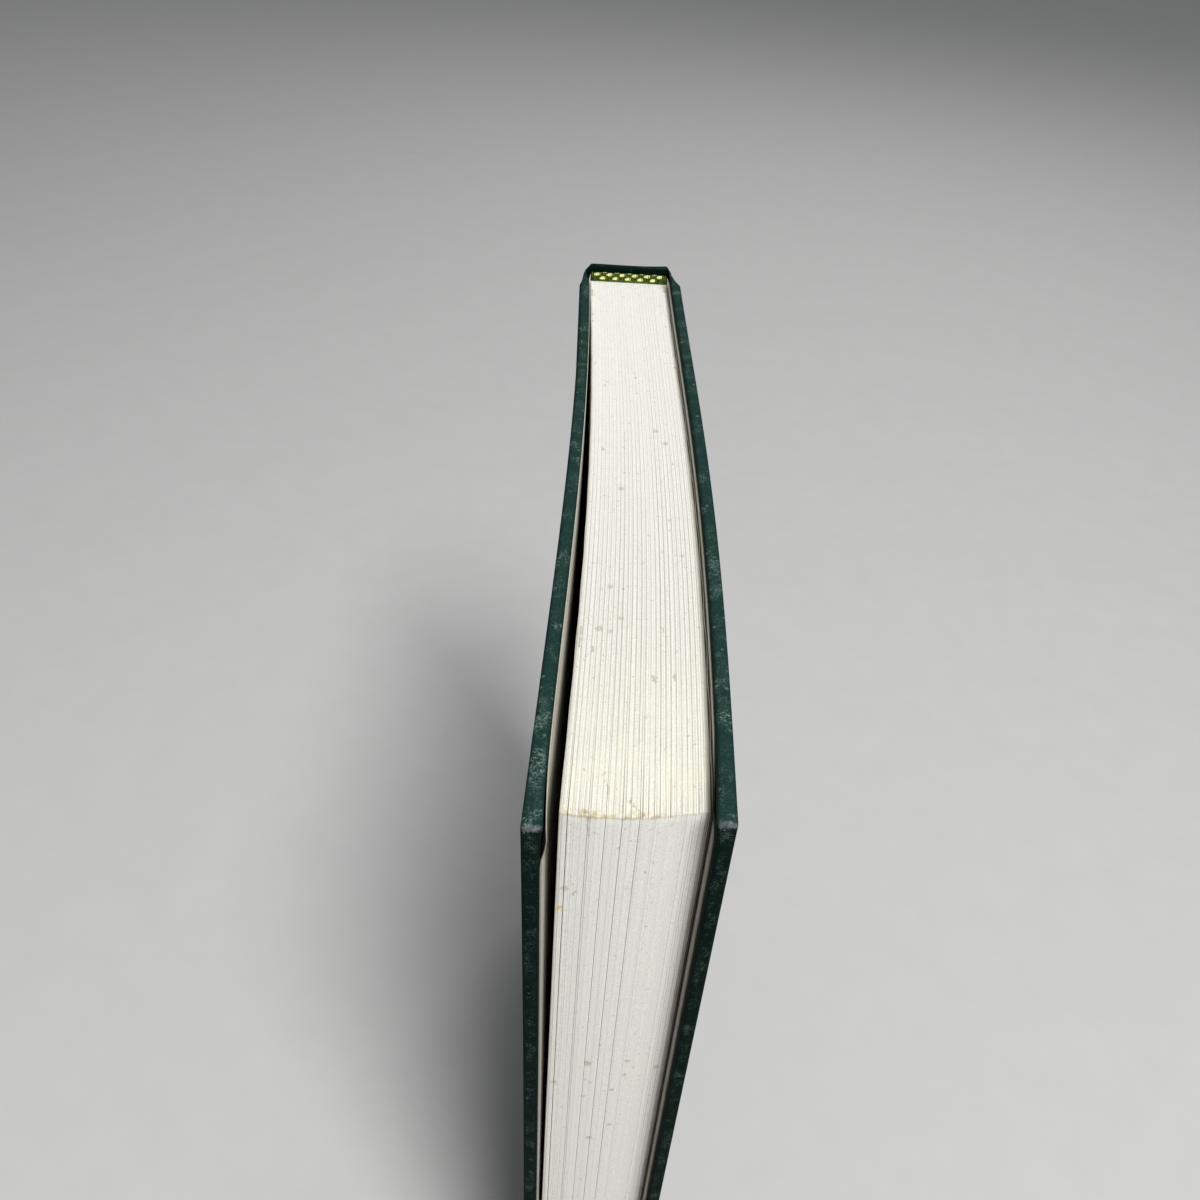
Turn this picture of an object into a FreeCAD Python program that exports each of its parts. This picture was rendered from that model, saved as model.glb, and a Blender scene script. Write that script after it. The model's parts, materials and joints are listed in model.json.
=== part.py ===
"""Hardcover book: a sewn text block in a flat-backed cloth case, standing on its tail.

The book is built from the inside out. The text block is the reference: x = 0 is the middle of its
spine, y = 0 its fore edge, and z = 0 the surface that the covers stand on. The front cover is on
the -x side and the back cover on the +x side. At the end everything moves together, so that the
origin is the centre of the book's footprint.
"""

import FreeCAD, Part
import math
import os

Vector = FreeCAD.Vector

FRONT = -1
BACK = 1

# Sizes in millimetres -----------------------------------------------------------------------

# Text block: folded sections sewn through their folds
PAGE_WIDTH = 156.0
PAGE_HEIGHT = 234.0
SECTION_COUNT = 26
SECTION_THICKNESS = 0.673
FOLD_ROUNDING = 0.1           # how far each folded section's back stands out between its neighbours
FORE_EDGE_SWELL_FRONT = 0.45  # the unsewn edge is a little thicker than the sewn one
FORE_EDGE_SWELL_BACK = 0.55
BLOCK_BOW_FRONT = 1.7         # the leaves have taken a bend towards the back cover
BLOCK_BOW_BACK = 1.6
BLOCK_BOW_BACK_LEAN = 1.3     # over 1, the deepest point of the bend lies nearer the fore edge
LEAVES_OUT_FRONT = 0.5        # bent like this they have slid on one another: how far the fore edge
LEAVES_OUT_MIDDLE = 0.65      # stands out at the first leaf, the middle leaf and the last leaf
LEAVES_OUT_BACK = -0.9

# Sewing thread, sunk in kerfs sawn across the section folds
THREAD_DIAMETER = 0.6
KERF_WIDTH = 0.9
KERF_DEPTH = 0.75
KERF_COUNT = 5
KERF_FROM_END = 12.0
THREAD_FROM_SIDE = 0.35

# Papers and cloths
FLYLEAF_THICKNESS = 0.12
PASTEDOWN_THICKNESS = 0.12
MULL_THICKNESS = 0.25
LINING_THICKNESS = 0.3
CLOTH_THICKNESS = 0.2

# Spine linings
MULL_FROM_END = 15.5          # the gauze stops short of the block's head and tail
MULL_ON_BOARD = 24.0          # how far its flanges reach onto the boards
MULL_CLEARANCE = 0.03
LINING_FROM_END = 1.2

# Headbands
BEAD_DIAMETER = 2.3
BEAD_RISE = 0.3               # the bead's centre above the edge of the leaves
BEAD_STITCH = 2.9             # one whole pair of coloured stitches
BEAD_WAIST = 0.18             # how far the bead draws in between two stitches
HEADBAND_TAPE_HEIGHT = 12.0
BEAD_TO_BACK = 0.05
BEAD_TO_CAP = 0.35

# Case
BOARD_THICKNESS = 1.8
SQUARE = 3.0                  # the boards' overhang at head and tail
SQUARE_FORE_EDGE = 4.6
JOINT_WIDTH = 7.5             # from the text block's back to the boards
INLAY_THICKNESS = 1.3
INLAY_OVER_BLOCK = 0.3        # the spine strip is this much wider than the block
INLAY_EDGE_RADIUS = 0.45
SPINE_DIP = 0.5               # the head of the spine is worn this far below the boards' ends
TURN_IN = 15.0
BOARD_EDGE_RADIUS = 0.45
SPINE_CORNER_RADIUS = 0.8
PASTEDOWN_FROM_HEAD = 4.0
PASTEDOWN_FROM_FORE_EDGE = 1.5

# How the covers lie at rest
COVER_CLEARANCE = 0.28        # between a pastedown and the leaf that it faces
COVER_SLIP = 0.9              # the front cover has slipped this far forward, and the other back
FRONT_LIFT_HEAD = 2.3         # the front cover has warped open, most at the head
FRONT_LIFT_MIDDLE = 1.0
FRONT_LIFT_TAIL = 0.8
FRONT_BOW = 0.9               # and between its edges it follows the bent leaves inwards
FRONT_BOW_LEAN = 0.6          # over 0, the deepest point of this bend lies nearer the spine

# Hinges
HINGE_FROM_BACK = 0.2         # the cloth bends on a line this far in front of the block's back
HINGE_FROM_SIDE = 0.85        # and this far outside its side, at the foot of the joint
HINGE_SPLIT = 0.5             # between what stays with the spine and what swings
MULL_RETURN = 0.6             # how far the gauze on the block's back folds round its shoulders

# Sizes that follow from these ---------------------------------------------------------------

BLOCK_THICKNESS = SECTION_COUNT * SECTION_THICKNESS
BOOK_HEIGHT = PAGE_HEIGHT + 2 * SQUARE
TAIL_Z = SQUARE
HEAD_Z = SQUARE + PAGE_HEIGHT
BACK_Y = PAGE_WIDTH
SHOULDER_Y = BACK_Y - FOLD_ROUNDING
LEAF_FORE_Y = {FRONT: -LEAVES_OUT_FRONT, BACK: -LEAVES_OUT_BACK}
BOARD_SPINE_Y = {side: BACK_Y - JOINT_WIDTH + side * COVER_SLIP for side in (FRONT, BACK)}
COVER_FORE_Y = {side: -SQUARE_FORE_EDGE + side * COVER_SLIP for side in (FRONT, BACK)}
HINGE_Y = BACK_Y - HINGE_FROM_BACK
HINGE_REACH = BLOCK_THICKNESS / 2 + HINGE_FROM_SIDE
PAPER_HINGE_Y = BACK_Y - MULL_RETURN - HINGE_SPLIT
BEAD_Y = BACK_Y + BEAD_TO_BACK + BEAD_DIAMETER / 2
CAP_Y = BEAD_Y + BEAD_DIAMETER / 2 + BEAD_TO_CAP
INLAY_Y = CAP_Y + CLOTH_THICKNESS
SPINE_Y = INLAY_Y + INLAY_THICKNESS + CLOTH_THICKNESS
INLAY_Z = (CLOTH_THICKNESS, BOOK_HEIGHT - SPINE_DIP - CLOTH_THICKNESS)
INLAY_HALF_WIDTH = (BLOCK_THICKNESS + INLAY_OVER_BLOCK) / 2
SPINE_HALF_WIDTH = INLAY_HALF_WIDTH + CLOTH_THICKNESS

BEYOND = 3.0                  # how far a sheet runs past the pieces that are trimmed from it
STATIONS = 13
LEVELS = 5


# Curves that the faces follow ---------------------------------------------------------------

def towards_fore_edge(y, start_y, end_y=0.0):
    """0 at the spine end of a face and 1 at its fore edge."""
    return max((start_y - y) / (start_y - end_y), 0.0)


def block_side(side, y):
    """How far the outermost leaf of the text block lies from the middle plane."""
    u = towards_fore_edge(y, SHOULDER_Y)
    if side == FRONT:
        bow = -BLOCK_BOW_FRONT * math.sin(math.pi * u)
        return BLOCK_THICKNESS / 2 + FORE_EDGE_SWELL_FRONT * u + bow
    bow = BLOCK_BOW_BACK * math.sin(math.pi * u ** BLOCK_BOW_BACK_LEAN)
    return BLOCK_THICKNESS / 2 + FORE_EDGE_SWELL_BACK * u + bow


def front_lift(z):
    """How far the front cover's fore edge stands off: a curve through the three named heights."""
    t = 2 * (BOOK_HEIGHT - z) / BOOK_HEIGHT
    bend = (FRONT_LIFT_HEAD - 2 * FRONT_LIFT_MIDDLE + FRONT_LIFT_TAIL) / 2
    slope = FRONT_LIFT_MIDDLE - FRONT_LIFT_HEAD - bend
    return FRONT_LIFT_HEAD + slope * t + bend * t * t


def board_side(side, y, z=BOOK_HEIGHT / 2):
    """How far a board's inner face lies from the middle plane."""
    papers = COVER_CLEARANCE + PASTEDOWN_THICKNESS + CLOTH_THICKNESS
    if side == BACK:
        return block_side(BACK, y) + FLYLEAF_THICKNESS + papers
    u = towards_fore_edge(y, SHOULDER_Y, COVER_FORE_Y[FRONT])
    bow = FRONT_BOW * math.sin(math.pi * u) * (1 + FRONT_BOW_LEAN * (1 - 2 * u))
    return BLOCK_THICKNESS / 2 + FLYLEAF_THICKNESS + papers - bow + front_lift(z) * u * u


def cloth_side(side):
    """How far the cloth lies from the middle plane at the board's spine edge."""
    return board_side(side, BOARD_SPINE_Y[side]) + BOARD_THICKNESS + CLOTH_THICKNESS


def spread(first, last, count):
    return [first + (last - first) * i / (count - 1) for i in range(count)]


# Building blocks ----------------------------------------------------------------------------

def box(x, y, z):
    """A box from three (low, high) pairs."""
    return Part.makeBox(x[1] - x[0], y[1] - y[0], z[1] - z[0], Vector(x[0], y[0], z[0]))


def window(y, z):
    """A box that takes in the whole thickness of the book."""
    wide = 4 * BLOCK_THICKNESS
    return box((-wide, wide), y, z)


def prism(edges, z):
    """A closed outline in plan, raised from z[0] to z[1]."""
    solid = Part.Face(Part.Wire(edges)).extrude(Vector(0, 0, z[1] - z[0]))
    solid.translate(Vector(0, 0, z[0]))
    return solid


def lines(points):
    """Straight edges through points in plan, closed."""
    ring = [Vector(x, y, 0) for x, y in points]
    return [Part.makeLine(a, b) for a, b in zip(ring, ring[1:] + ring[:1])]


def block_curve(side, outwards):
    """The plan curve of the outermost leaf, moved outwards."""
    curve = Part.BSplineCurve()
    curve.interpolate([
        Vector(side * (block_side(side, y) + outwards), y, 0)
        for y in spread(SHOULDER_Y, LEAF_FORE_Y[side], STATIONS)
    ])
    return curve.toShape()


def sheet(side, inner, outer):
    """A sheet that follows a board's inner face, between two distances outwards from it."""
    rows = []
    for y in spread(SHOULDER_Y - 1.0, COVER_FORE_Y[side] - BEYOND, STATIONS):
        rows.append([
            Vector(side * (board_side(side, y, z) + inner), y, z)
            for z in spread(-BEYOND, BOOK_HEIGHT + BEYOND, LEVELS)
        ])
    surface = Part.BSplineSurface()
    surface.interpolate(rows)
    return surface.toShape().extrude(Vector(side * (outer - inner), 0, 0))


def trimmed(side, inner, outer, y, z):
    return sheet(side, inner, outer).common(window(y, z)).Solids[0]


def rounded(solid, radius, spine_end):
    """Rounds every edge but those at the spine end."""
    edges = [e for e in solid.Edges if any(v.Y < spine_end - 0.01 for v in e.Vertexes)]
    return solid.makeFillet(radius, edges).Solids[0]


def channel(outer, inner, z):
    """What is left of one closed outline when another is taken from it."""
    return prism(outer, z).cut(prism(inner, (z[0] - 1, z[1] + 1)))


# Text block ---------------------------------------------------------------------------------

def section_folds():
    """The rounded backs of the folded sections, from the front of the book to its back."""
    edges = []
    for i in range(SECTION_COUNT):
        x = -BLOCK_THICKNESS / 2 + i * SECTION_THICKNESS
        edges.append(Part.Arc(
            Vector(x, SHOULDER_Y, 0),
            Vector(x + SECTION_THICKNESS / 2, BACK_Y, 0),
            Vector(x + SECTION_THICKNESS, SHOULDER_Y, 0),
        ).toShape())
    return edges


def kerf_heights():
    return spread(TAIL_Z + KERF_FROM_END, HEAD_Z - KERF_FROM_END, KERF_COUNT)


def make_page_block():
    front, back = block_curve(FRONT, 0), block_curve(BACK, 0)
    first, last = front.Vertexes[-1].Point, back.Vertexes[-1].Point
    middle = Vector((first.x + last.x) / 2, -LEAVES_OUT_MIDDLE, 0)
    fore_edge = Part.Arc(first, middle, last).toShape()
    block = prism([front] + section_folds() + [back, fore_edge], (TAIL_Z, HEAD_Z))
    for z in kerf_heights():
        block = block.cut(window(
            (BACK_Y - KERF_DEPTH, BACK_Y + 1), (z - KERF_WIDTH / 2, z + KERF_WIDTH / 2)
        ))
    return block


def make_flyleaf(side):
    inner, outer = block_curve(side, 0), block_curve(side, FLYLEAF_THICKNESS)
    spine_end = Part.makeLine(inner.Vertexes[0].Point, outer.Vertexes[0].Point)
    fore_end = Part.makeLine(outer.Vertexes[-1].Point, inner.Vertexes[-1].Point)
    return prism([inner, spine_end, outer, fore_end], (TAIL_Z, HEAD_Z))


def make_sewing_thread():
    """One length of thread in each kerf, from the first section to the last."""
    length = BLOCK_THICKNESS - 2 * THREAD_FROM_SIDE
    y = BACK_Y - KERF_DEPTH + THREAD_DIAMETER / 2
    return Part.makeCompound([
        Part.makeCylinder(THREAD_DIAMETER / 2, length, Vector(-length / 2, y, z), Vector(1, 0, 0))
        for z in kerf_heights()
    ])


def make_headband(edge_z, up):
    """A woven tape down the back of the block, with a stitched bead along its edge."""
    half = BLOCK_THICKNESS / 2
    tape_z = sorted((edge_z + up * BEAD_RISE, edge_z - up * HEADBAND_TAPE_HEIGHT))
    tape = box((-half, half), (BACK_Y, BACK_Y + MULL_THICKNESS), tape_z)
    lobes = int(round(2 * BLOCK_THICKNESS / BEAD_STITCH))
    pitch = BLOCK_THICKNESS / lobes
    waist, full = BEAD_DIAMETER / 2 - BEAD_WAIST, BEAD_DIAMETER / 2
    edges = [Part.makeLine(Vector(-half, 0, 0), Vector(-half, waist, 0))]
    for i in range(lobes):
        x = -half + i * pitch
        edges.append(Part.Arc(
            Vector(x, waist, 0), Vector(x + pitch / 2, full, 0), Vector(x + pitch, waist, 0)
        ).toShape())
    edges.append(Part.makeLine(Vector(half, waist, 0), Vector(half, 0, 0)))
    edges.append(Part.makeLine(Vector(half, 0, 0), Vector(-half, 0, 0)))
    bead = Part.Face(Part.Wire(edges)).revolve(Vector(0, 0, 0), Vector(1, 0, 0), 360)
    bead.translate(Vector(0, BEAD_Y, edge_z + up * BEAD_RISE))
    return tape.fuse(bead).removeSplitter()


def mull_outline(outwards, mouth_y):
    """The outline of the block's back and shoulders with its flyleaves, moved outwards."""
    out = FLYLEAF_THICKNESS + MULL_CLEARANCE + outwards
    points = []
    for side, y in ((FRONT, mouth_y), (FRONT, BACK_Y), (BACK, BACK_Y), (BACK, mouth_y)):
        points.append((side * (block_side(side, y) + out), y + outwards * (y == BACK_Y)))
    return lines(points)


def make_spine_mull():
    mouth_y = BACK_Y - MULL_RETURN
    return channel(
        mull_outline(MULL_THICKNESS, mouth_y), mull_outline(0.0, mouth_y - 1),
        (TAIL_Z + MULL_FROM_END, HEAD_Z - MULL_FROM_END),
    )


def make_spine_lining():
    half = BLOCK_THICKNESS / 2
    y = BACK_Y + MULL_THICKNESS
    return box((-half, half), (y, y + LINING_THICKNESS),
               (TAIL_Z + LINING_FROM_END, HEAD_Z - LINING_FROM_END))


# Case: spine --------------------------------------------------------------------------------

def spine_outline(inwards):
    """The outside of the spine in plan, from hinge to hinge, moved inwards."""
    back_y = SPINE_Y - inwards
    mouth_y = HINGE_Y + HINGE_SPLIT / 2 - (1 if inwards else 0)
    mouth = HINGE_REACH - inwards
    radius = SPINE_CORNER_RADIUS - inwards
    half = SPINE_HALF_WIDTH - inwards
    corner = radius * (1 - math.sqrt(0.5))
    front = [Vector(-mouth, mouth_y, 0), Vector(-half, back_y - radius, 0),
             Vector(-half + corner, back_y - corner, 0), Vector(-half + radius, back_y, 0)]
    back = [Vector(-point.x, point.y, 0) for point in reversed(front)]
    return [
        Part.makeLine(front[0], front[1]), Part.Arc(*front[1:]).toShape(),
        Part.makeLine(front[3], back[0]), Part.Arc(*back[:3]).toShape(),
        Part.makeLine(back[2], back[3]), Part.makeLine(back[3], front[0]),
    ]


def make_spine_inlay():
    """The card strip that keeps the hollow spine flat, its ends rounded by handling."""
    strip = box((-INLAY_HALF_WIDTH, INLAY_HALF_WIDTH), (INLAY_Y, SPINE_Y - CLOTH_THICKNESS), INLAY_Z)
    ends = [e for e in strip.Edges if len({(v.Y, v.Z) for v in e.Vertexes}) == 1]
    strip = strip.makeFillet(INLAY_EDGE_RADIUS, ends)
    return strip.common(prism(spine_outline(CLOTH_THICKNESS), INLAY_Z)).Solids[0]


def worn_head():
    """What is missing above the spine's worn head, from the hinges to its back."""
    low, beyond = BOOK_HEIGHT - SPINE_DIP, BOOK_HEIGHT + BEYOND
    outline = [(HINGE_Y, BOOK_HEIGHT), (CAP_Y, low), (SPINE_Y + BEYOND, low),
               (SPINE_Y + BEYOND, beyond), (HINGE_Y, beyond), (HINGE_Y, BOOK_HEIGHT)]
    across = -2 * SPINE_HALF_WIDTH
    face = Part.Face(Part.makePolygon([Vector(across, y, z) for y, z in outline]))
    return face.extrude(Vector(-2 * across, 0, 0))


def make_spine_cloth(inlay):
    """The cloth over spine and joints, turned in over the inlay at head and tail."""
    cloth = channel(spine_outline(0.0), spine_outline(CLOTH_THICKNESS), (0, BOOK_HEIGHT))
    whole = prism(spine_outline(0.0), (0, BOOK_HEIGHT))
    for z in ((0, TURN_IN), (BOOK_HEIGHT - TURN_IN, BOOK_HEIGHT)):
        cap = box((-INLAY_HALF_WIDTH, INLAY_HALF_WIDTH), (CAP_Y, SPINE_Y), z)
        cloth = cloth.fuse(whole.common(cap))
    return cloth.cut(worn_head()).cut(inlay).removeSplitter().Solids[0]


# Case: covers -------------------------------------------------------------------------------

def board_core(side):
    """A board with its rounded edges, running on past its spine edge."""
    core = trimmed(
        side, 0, BOARD_THICKNESS,
        (COVER_FORE_Y[side] + CLOTH_THICKNESS, HINGE_Y),
        (CLOTH_THICKNESS, BOOK_HEIGHT - CLOTH_THICKNESS),
    )
    return rounded(core, BOARD_EDGE_RADIUS, HINGE_Y)


def make_board(side, core):
    whole = window((COVER_FORE_Y[side], BOARD_SPINE_Y[side]), (0, BOOK_HEIGHT))
    return core.common(whole).Solids[0]


def joint_cloth(side):
    """The cloth that falls in from the board's spine edge to the hinge."""
    outer = cloth_side(side)
    hinge_y = HINGE_Y - HINGE_SPLIT / 2
    return prism(lines([
        (side * outer, BOARD_SPINE_Y[side]), (side * (outer - CLOTH_THICKNESS), BOARD_SPINE_Y[side]),
        (side * (HINGE_REACH - CLOTH_THICKNESS), hinge_y), (side * HINGE_REACH, hinge_y),
    ]), (0, BOOK_HEIGHT))


def make_cover_cloth(side, core):
    """The cloth over a board, with its turn-ins, and on to the hinge."""
    whole = rounded(trimmed(
        side, -CLOTH_THICKNESS, BOARD_THICKNESS + CLOTH_THICKNESS,
        (COVER_FORE_Y[side], BOARD_SPINE_Y[side]), (0, BOOK_HEIGHT),
    ), BOARD_EDGE_RADIUS + CLOTH_THICKNESS, BOARD_SPINE_Y[side])
    inside = trimmed(
        side, -CLOTH_THICKNESS - 1, BOARD_THICKNESS / 2,
        (COVER_FORE_Y[side] + TURN_IN, HINGE_Y), (TURN_IN, BOOK_HEIGHT - TURN_IN),
    )
    return whole.cut(core).cut(inside).fuse(joint_cloth(side)).Solids[0]


def make_mull_flange(side):
    """The gauze glued to the inside of a board, between the turn-ins."""
    end = max(TURN_IN, SQUARE + MULL_FROM_END)
    return trimmed(
        side, -CLOTH_THICKNESS, 0,
        (BOARD_SPINE_Y[side] - MULL_ON_BOARD, PAPER_HINGE_Y), (end, BOOK_HEIGHT - end),
    )


def make_pastedown(side):
    """The leaf glued down inside a cover. It steps down onto the board inside the turn-ins."""
    fore_y = COVER_FORE_Y[side] + PASTEDOWN_FROM_FORE_EDGE
    z = (PASTEDOWN_FROM_HEAD, BOOK_HEIGHT - PASTEDOWN_FROM_HEAD)
    inside_y = (COVER_FORE_Y[side] + TURN_IN, BOARD_SPINE_Y[side] - MULL_ON_BOARD)
    inside_z = (TURN_IN, BOOK_HEIGHT - TURN_IN)
    over_turn_ins = -CLOTH_THICKNESS - PASTEDOWN_THICKNESS
    paper = trimmed(side, over_turn_ins, -CLOTH_THICKNESS, (fore_y, PAPER_HINGE_Y), z)
    sunk = trimmed(side, over_turn_ins, 0, inside_y, inside_z)
    wall = PASTEDOWN_THICKNESS
    pocket = trimmed(
        side, over_turn_ins - 1, -PASTEDOWN_THICKNESS,
        (inside_y[0] + wall, inside_y[1] - wall), (inside_z[0] + wall, inside_z[1] - wall),
    )
    return paper.fuse(sunk).cut(pocket).removeSplitter().Solids[0]


# The book -----------------------------------------------------------------------------------

def make_book():
    nodes = {
        "page_block": make_page_block(),
        "front_flyleaf": make_flyleaf(FRONT),
        "back_flyleaf": make_flyleaf(BACK),
        "sewing_thread": make_sewing_thread(),
        "headband": make_headband(HEAD_Z, 1),
        "tailband": make_headband(TAIL_Z, -1),
        "spine_mull": make_spine_mull(),
        "spine_lining": make_spine_lining(),
        "spine_inlay": make_spine_inlay(),
    }
    nodes["spine_cloth"] = make_spine_cloth(nodes["spine_inlay"])
    for name, side in (("front", FRONT), ("back", BACK)):
        core = board_core(side)
        nodes[name + "_board"] = make_board(side, core)
        nodes[name + "_cover_cloth"] = make_cover_cloth(side, core)
        nodes[name + "_pastedown"] = make_pastedown(side)
        nodes[name + "_mull_flange"] = make_mull_flange(side)
    return nodes


def main():
    nodes = make_book()
    whole = Part.makeCompound(list(nodes.values())).optimalBoundingBox(True, False)
    to_origin = Vector(-whole.Center.x, -whole.Center.y, -whole.ZMin)
    os.makedirs("parts", exist_ok=True)
    for name, shape in nodes.items():
        shape.translate(to_origin)
        shape.exportStep("parts/" + name + ".step")
    for name, side in (("front", FRONT), ("back", BACK)):
        hinge = Vector(side * HINGE_REACH, HINGE_Y, BOOK_HEIGHT / 2) + to_origin
        print(name, "hinge at", [round(v, 3) for v in hinge])
    print("size", round(whole.XLength, 2), round(whole.YLength, 2), round(whole.ZLength, 2))


main()
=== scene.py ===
"""The looks of a hardcover book that stands on its tail: cloth case, endpapers, leaves, headbands.

Lengths are in metres, written as so many MM. In this file "reach" is the distance outwards from
the middle plane of the book, "front" is the -x cover and "back" the +x cover, and every place
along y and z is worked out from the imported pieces.
"""

import json
import math

import bpy
from mathutils import Matrix, Vector


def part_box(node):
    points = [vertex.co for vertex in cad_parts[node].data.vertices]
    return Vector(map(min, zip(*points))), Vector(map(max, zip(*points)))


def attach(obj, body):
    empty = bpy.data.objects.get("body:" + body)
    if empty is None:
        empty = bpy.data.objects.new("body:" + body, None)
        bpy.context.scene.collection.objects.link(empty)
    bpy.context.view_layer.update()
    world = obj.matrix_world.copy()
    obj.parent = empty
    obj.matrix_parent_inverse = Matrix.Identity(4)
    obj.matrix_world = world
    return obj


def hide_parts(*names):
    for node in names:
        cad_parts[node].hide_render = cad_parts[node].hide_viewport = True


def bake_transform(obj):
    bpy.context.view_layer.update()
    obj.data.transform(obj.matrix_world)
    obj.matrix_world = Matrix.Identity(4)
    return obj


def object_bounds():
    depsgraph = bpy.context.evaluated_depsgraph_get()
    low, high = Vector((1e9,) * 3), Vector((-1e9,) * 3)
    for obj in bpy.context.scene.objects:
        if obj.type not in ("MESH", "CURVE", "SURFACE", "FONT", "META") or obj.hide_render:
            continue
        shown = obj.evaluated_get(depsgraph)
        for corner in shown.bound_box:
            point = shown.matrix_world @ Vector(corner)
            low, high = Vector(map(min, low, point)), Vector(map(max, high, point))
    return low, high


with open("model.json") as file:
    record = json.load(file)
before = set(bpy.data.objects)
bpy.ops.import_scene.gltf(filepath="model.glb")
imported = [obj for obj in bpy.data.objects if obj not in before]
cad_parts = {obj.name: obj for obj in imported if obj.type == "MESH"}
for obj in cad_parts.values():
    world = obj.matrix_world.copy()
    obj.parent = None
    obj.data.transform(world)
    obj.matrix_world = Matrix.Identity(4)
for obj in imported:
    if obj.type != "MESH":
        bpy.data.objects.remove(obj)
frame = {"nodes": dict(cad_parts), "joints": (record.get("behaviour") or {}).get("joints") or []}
CAD_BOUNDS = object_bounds()

MM = 0.001
FRONT, BACK = -1, 1
SIDES = (("front", FRONT), ("back", BACK))
PAGE_WIDTH, CLOTH = 156 * MM, 0.2 * MM      # the leaves' width and the cloth's thickness

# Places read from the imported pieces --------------

BLOCK_LOW, BLOCK_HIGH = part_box("page_block")
INLAY_LOW, INLAY_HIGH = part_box("spine_inlay")
MIDDLE_X = (INLAY_LOW.x + INLAY_HIGH.x) / 2
BACK_Y = BLOCK_HIGH.y
FORE_Y = BACK_Y - PAGE_WIDTH
TAIL_Z, HEAD_Z = BLOCK_LOW.z, BLOCK_HIGH.z
COVER_FORE_Y = {side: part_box(name + "_cover_cloth")[0].y for name, side in SIDES}
BOARD_SPINE_Y = {side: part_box(name + "_board")[1].y for name, side in SIDES}
GAUZE = {side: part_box(name + "_mull_flange")[0] for name, side in SIDES}
HEIGHT = CAD_BOUNDS[1].z - CAD_BOUNDS[0].z
SPINE_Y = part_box("spine_cloth")[1].y
SPINE_HALF = INLAY_HIGH.x - MIDDLE_X + CLOTH
CAP = 2 * CLOTH + (INLAY_HIGH.y - INLAY_LOW.y)      # through the spine's turned-in cloth and card
HINGE = {j["child"].split("_")[0]: Vector(j["pos_m"]) for j in frame["joints"]}
HINGE_REACH = HINGE["back"].x - MIDDLE_X
HINGE_Y = HINGE["back"].y

# Sizes of the papers, cloth and boards -----------

HALF_BLOCK = 8.749 * MM
FOLD_ROUNDING = 0.1 * MM
SHOULDER_Y = BACK_Y - FOLD_ROUNDING
SWELL = {FRONT: 0.45 * MM, BACK: 0.55 * MM}
BOW_FRONT, BOW_BACK, BOW_BACK_LEAN = 1.7 * MM, 1.6 * MM, 1.3
FRONT_LIFT = (2.3 * MM, 1.0 * MM, 0.8 * MM)   # at head, middle and tail
FRONT_BOW, FRONT_BOW_LEAN = 0.9 * MM, 0.6
PAPER = 0.12 * MM
BOARD = 1.8 * MM
COVER_CLEARANCE = 0.28 * MM
TURN_IN = 15.0 * MM
CLOTH_EDGE_RADIUS, CLOTH_EDGE_SHARE = 0.65 * MM, 0.49     # at most this share of the thickness
SPINE_CORNER = 0.8 * MM
CORNER_Y = SPINE_Y - SPINE_CORNER
CORNER_SWELL = 0.65 * MM
CORNER_SWELL_FADES = (6 * MM, 2.6 * MM)         # along the head and down the fore edge
JOINT_FULLNESS = {FRONT: 0.75 * MM, BACK: 0.15 * MM}
JOINT_STIFF_END = 9 * MM
JOINT_SLOPES = (0.08, 0.1, 0.45)                # outwards, at the spine's corner, hinge and board
JOINT_THICKENS = 1.2                            # more than 1 is slower at first, past the hinge
SPINE_DIP = HEIGHT - INLAY_HIGH.z - CLOTH
WORN_HEAD_START = 1.7 * MM                      # in from the outside of the spine
WORN_HEAD = (0.6, 0.35, 0.3)                    # dip everywhere, more in the middle, and leaning
# The last of these is how far down from the head the cloth's dusting and painted sheen reach
END_WEAR, FORE_WEAR, CORNER_WEAR, TOP_DUST_AND_SHEEN = 1.1 * MM, 0.9 * MM, 1.4 * MM, 0.7 * MM
PASTEDOWN_FROM_HEAD = 1.4 * MM
# How much lower its head edge ends at the fore corner, and over what length it comes down
PASTEDOWN_CORNER = {FRONT: (2.8 * MM, 7 * MM), BACK: (3.4 * MM, 16 * MM)}
LOOSE_CORNER = {FRONT: 0.9 * MM, BACK: 0.0}     # how far it has come off the cloth at that corner
LOOSE_CORNER_FADES = (5 * MM, 4.5 * MM)         # along the head and down the fore edge
PASTEDOWN_FROM_FORE_EDGE = 1.5 * MM
GUTTER, GUTTER_EASE = 3.0 * MM, 2.6 * MM        # where it leaves the board for the first leaf
CLOSE_ROWS = 8 * MM                             # how far its rows lie close, for the bend
STEP_BEFORE, STEP_AFTER = 0.4 * MM, 2 * MM      # rows of the pastedown round the turn-ins' edge
TURN_IN_EASE, GAUZE_EASE = 1.6 * MM, 1.2 * MM   # how gently it comes down off each edge
# How far in from the edges the toning and the edge rim reach, and how far from the fore edge the
# dirt with painted shade reaches; then how strongly dirt and painted shade darken each endpaper's
# fore edge
EDGE_FALLOFF, SOIL_AND_SHADE_RIM = 5 * MM, 3 * MM
PASTEDOWN_SOIL_AND_SHADE, FLYLEAF_SOIL_AND_SHADE = {FRONT: 0.55, BACK: 1.0}, {FRONT: 0.2, BACK: 0.85}
FLYLEAF_COCKLE = {FRONT: 0.03 * MM, BACK: 0.08 * MM}
COCKLE_FADES = (9 * MM, 14 * MM)                # towards the fold and the fore edge
COCKLE_LEFT = 2 * MM                            # it would end this far past the fore edge
COCKLE_WAVES = (2.1 * MM, 1.7, 23 * MM)         # length, and how far and slowly they wander
LEAVES_OUT = (0.5 * MM, 0.65 * MM, -0.9 * MM)   # past the fore edge, at front, middle and back
KERF_DEPTH, KERF_WIDTH = 0.75 * MM, 0.9 * MM
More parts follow.
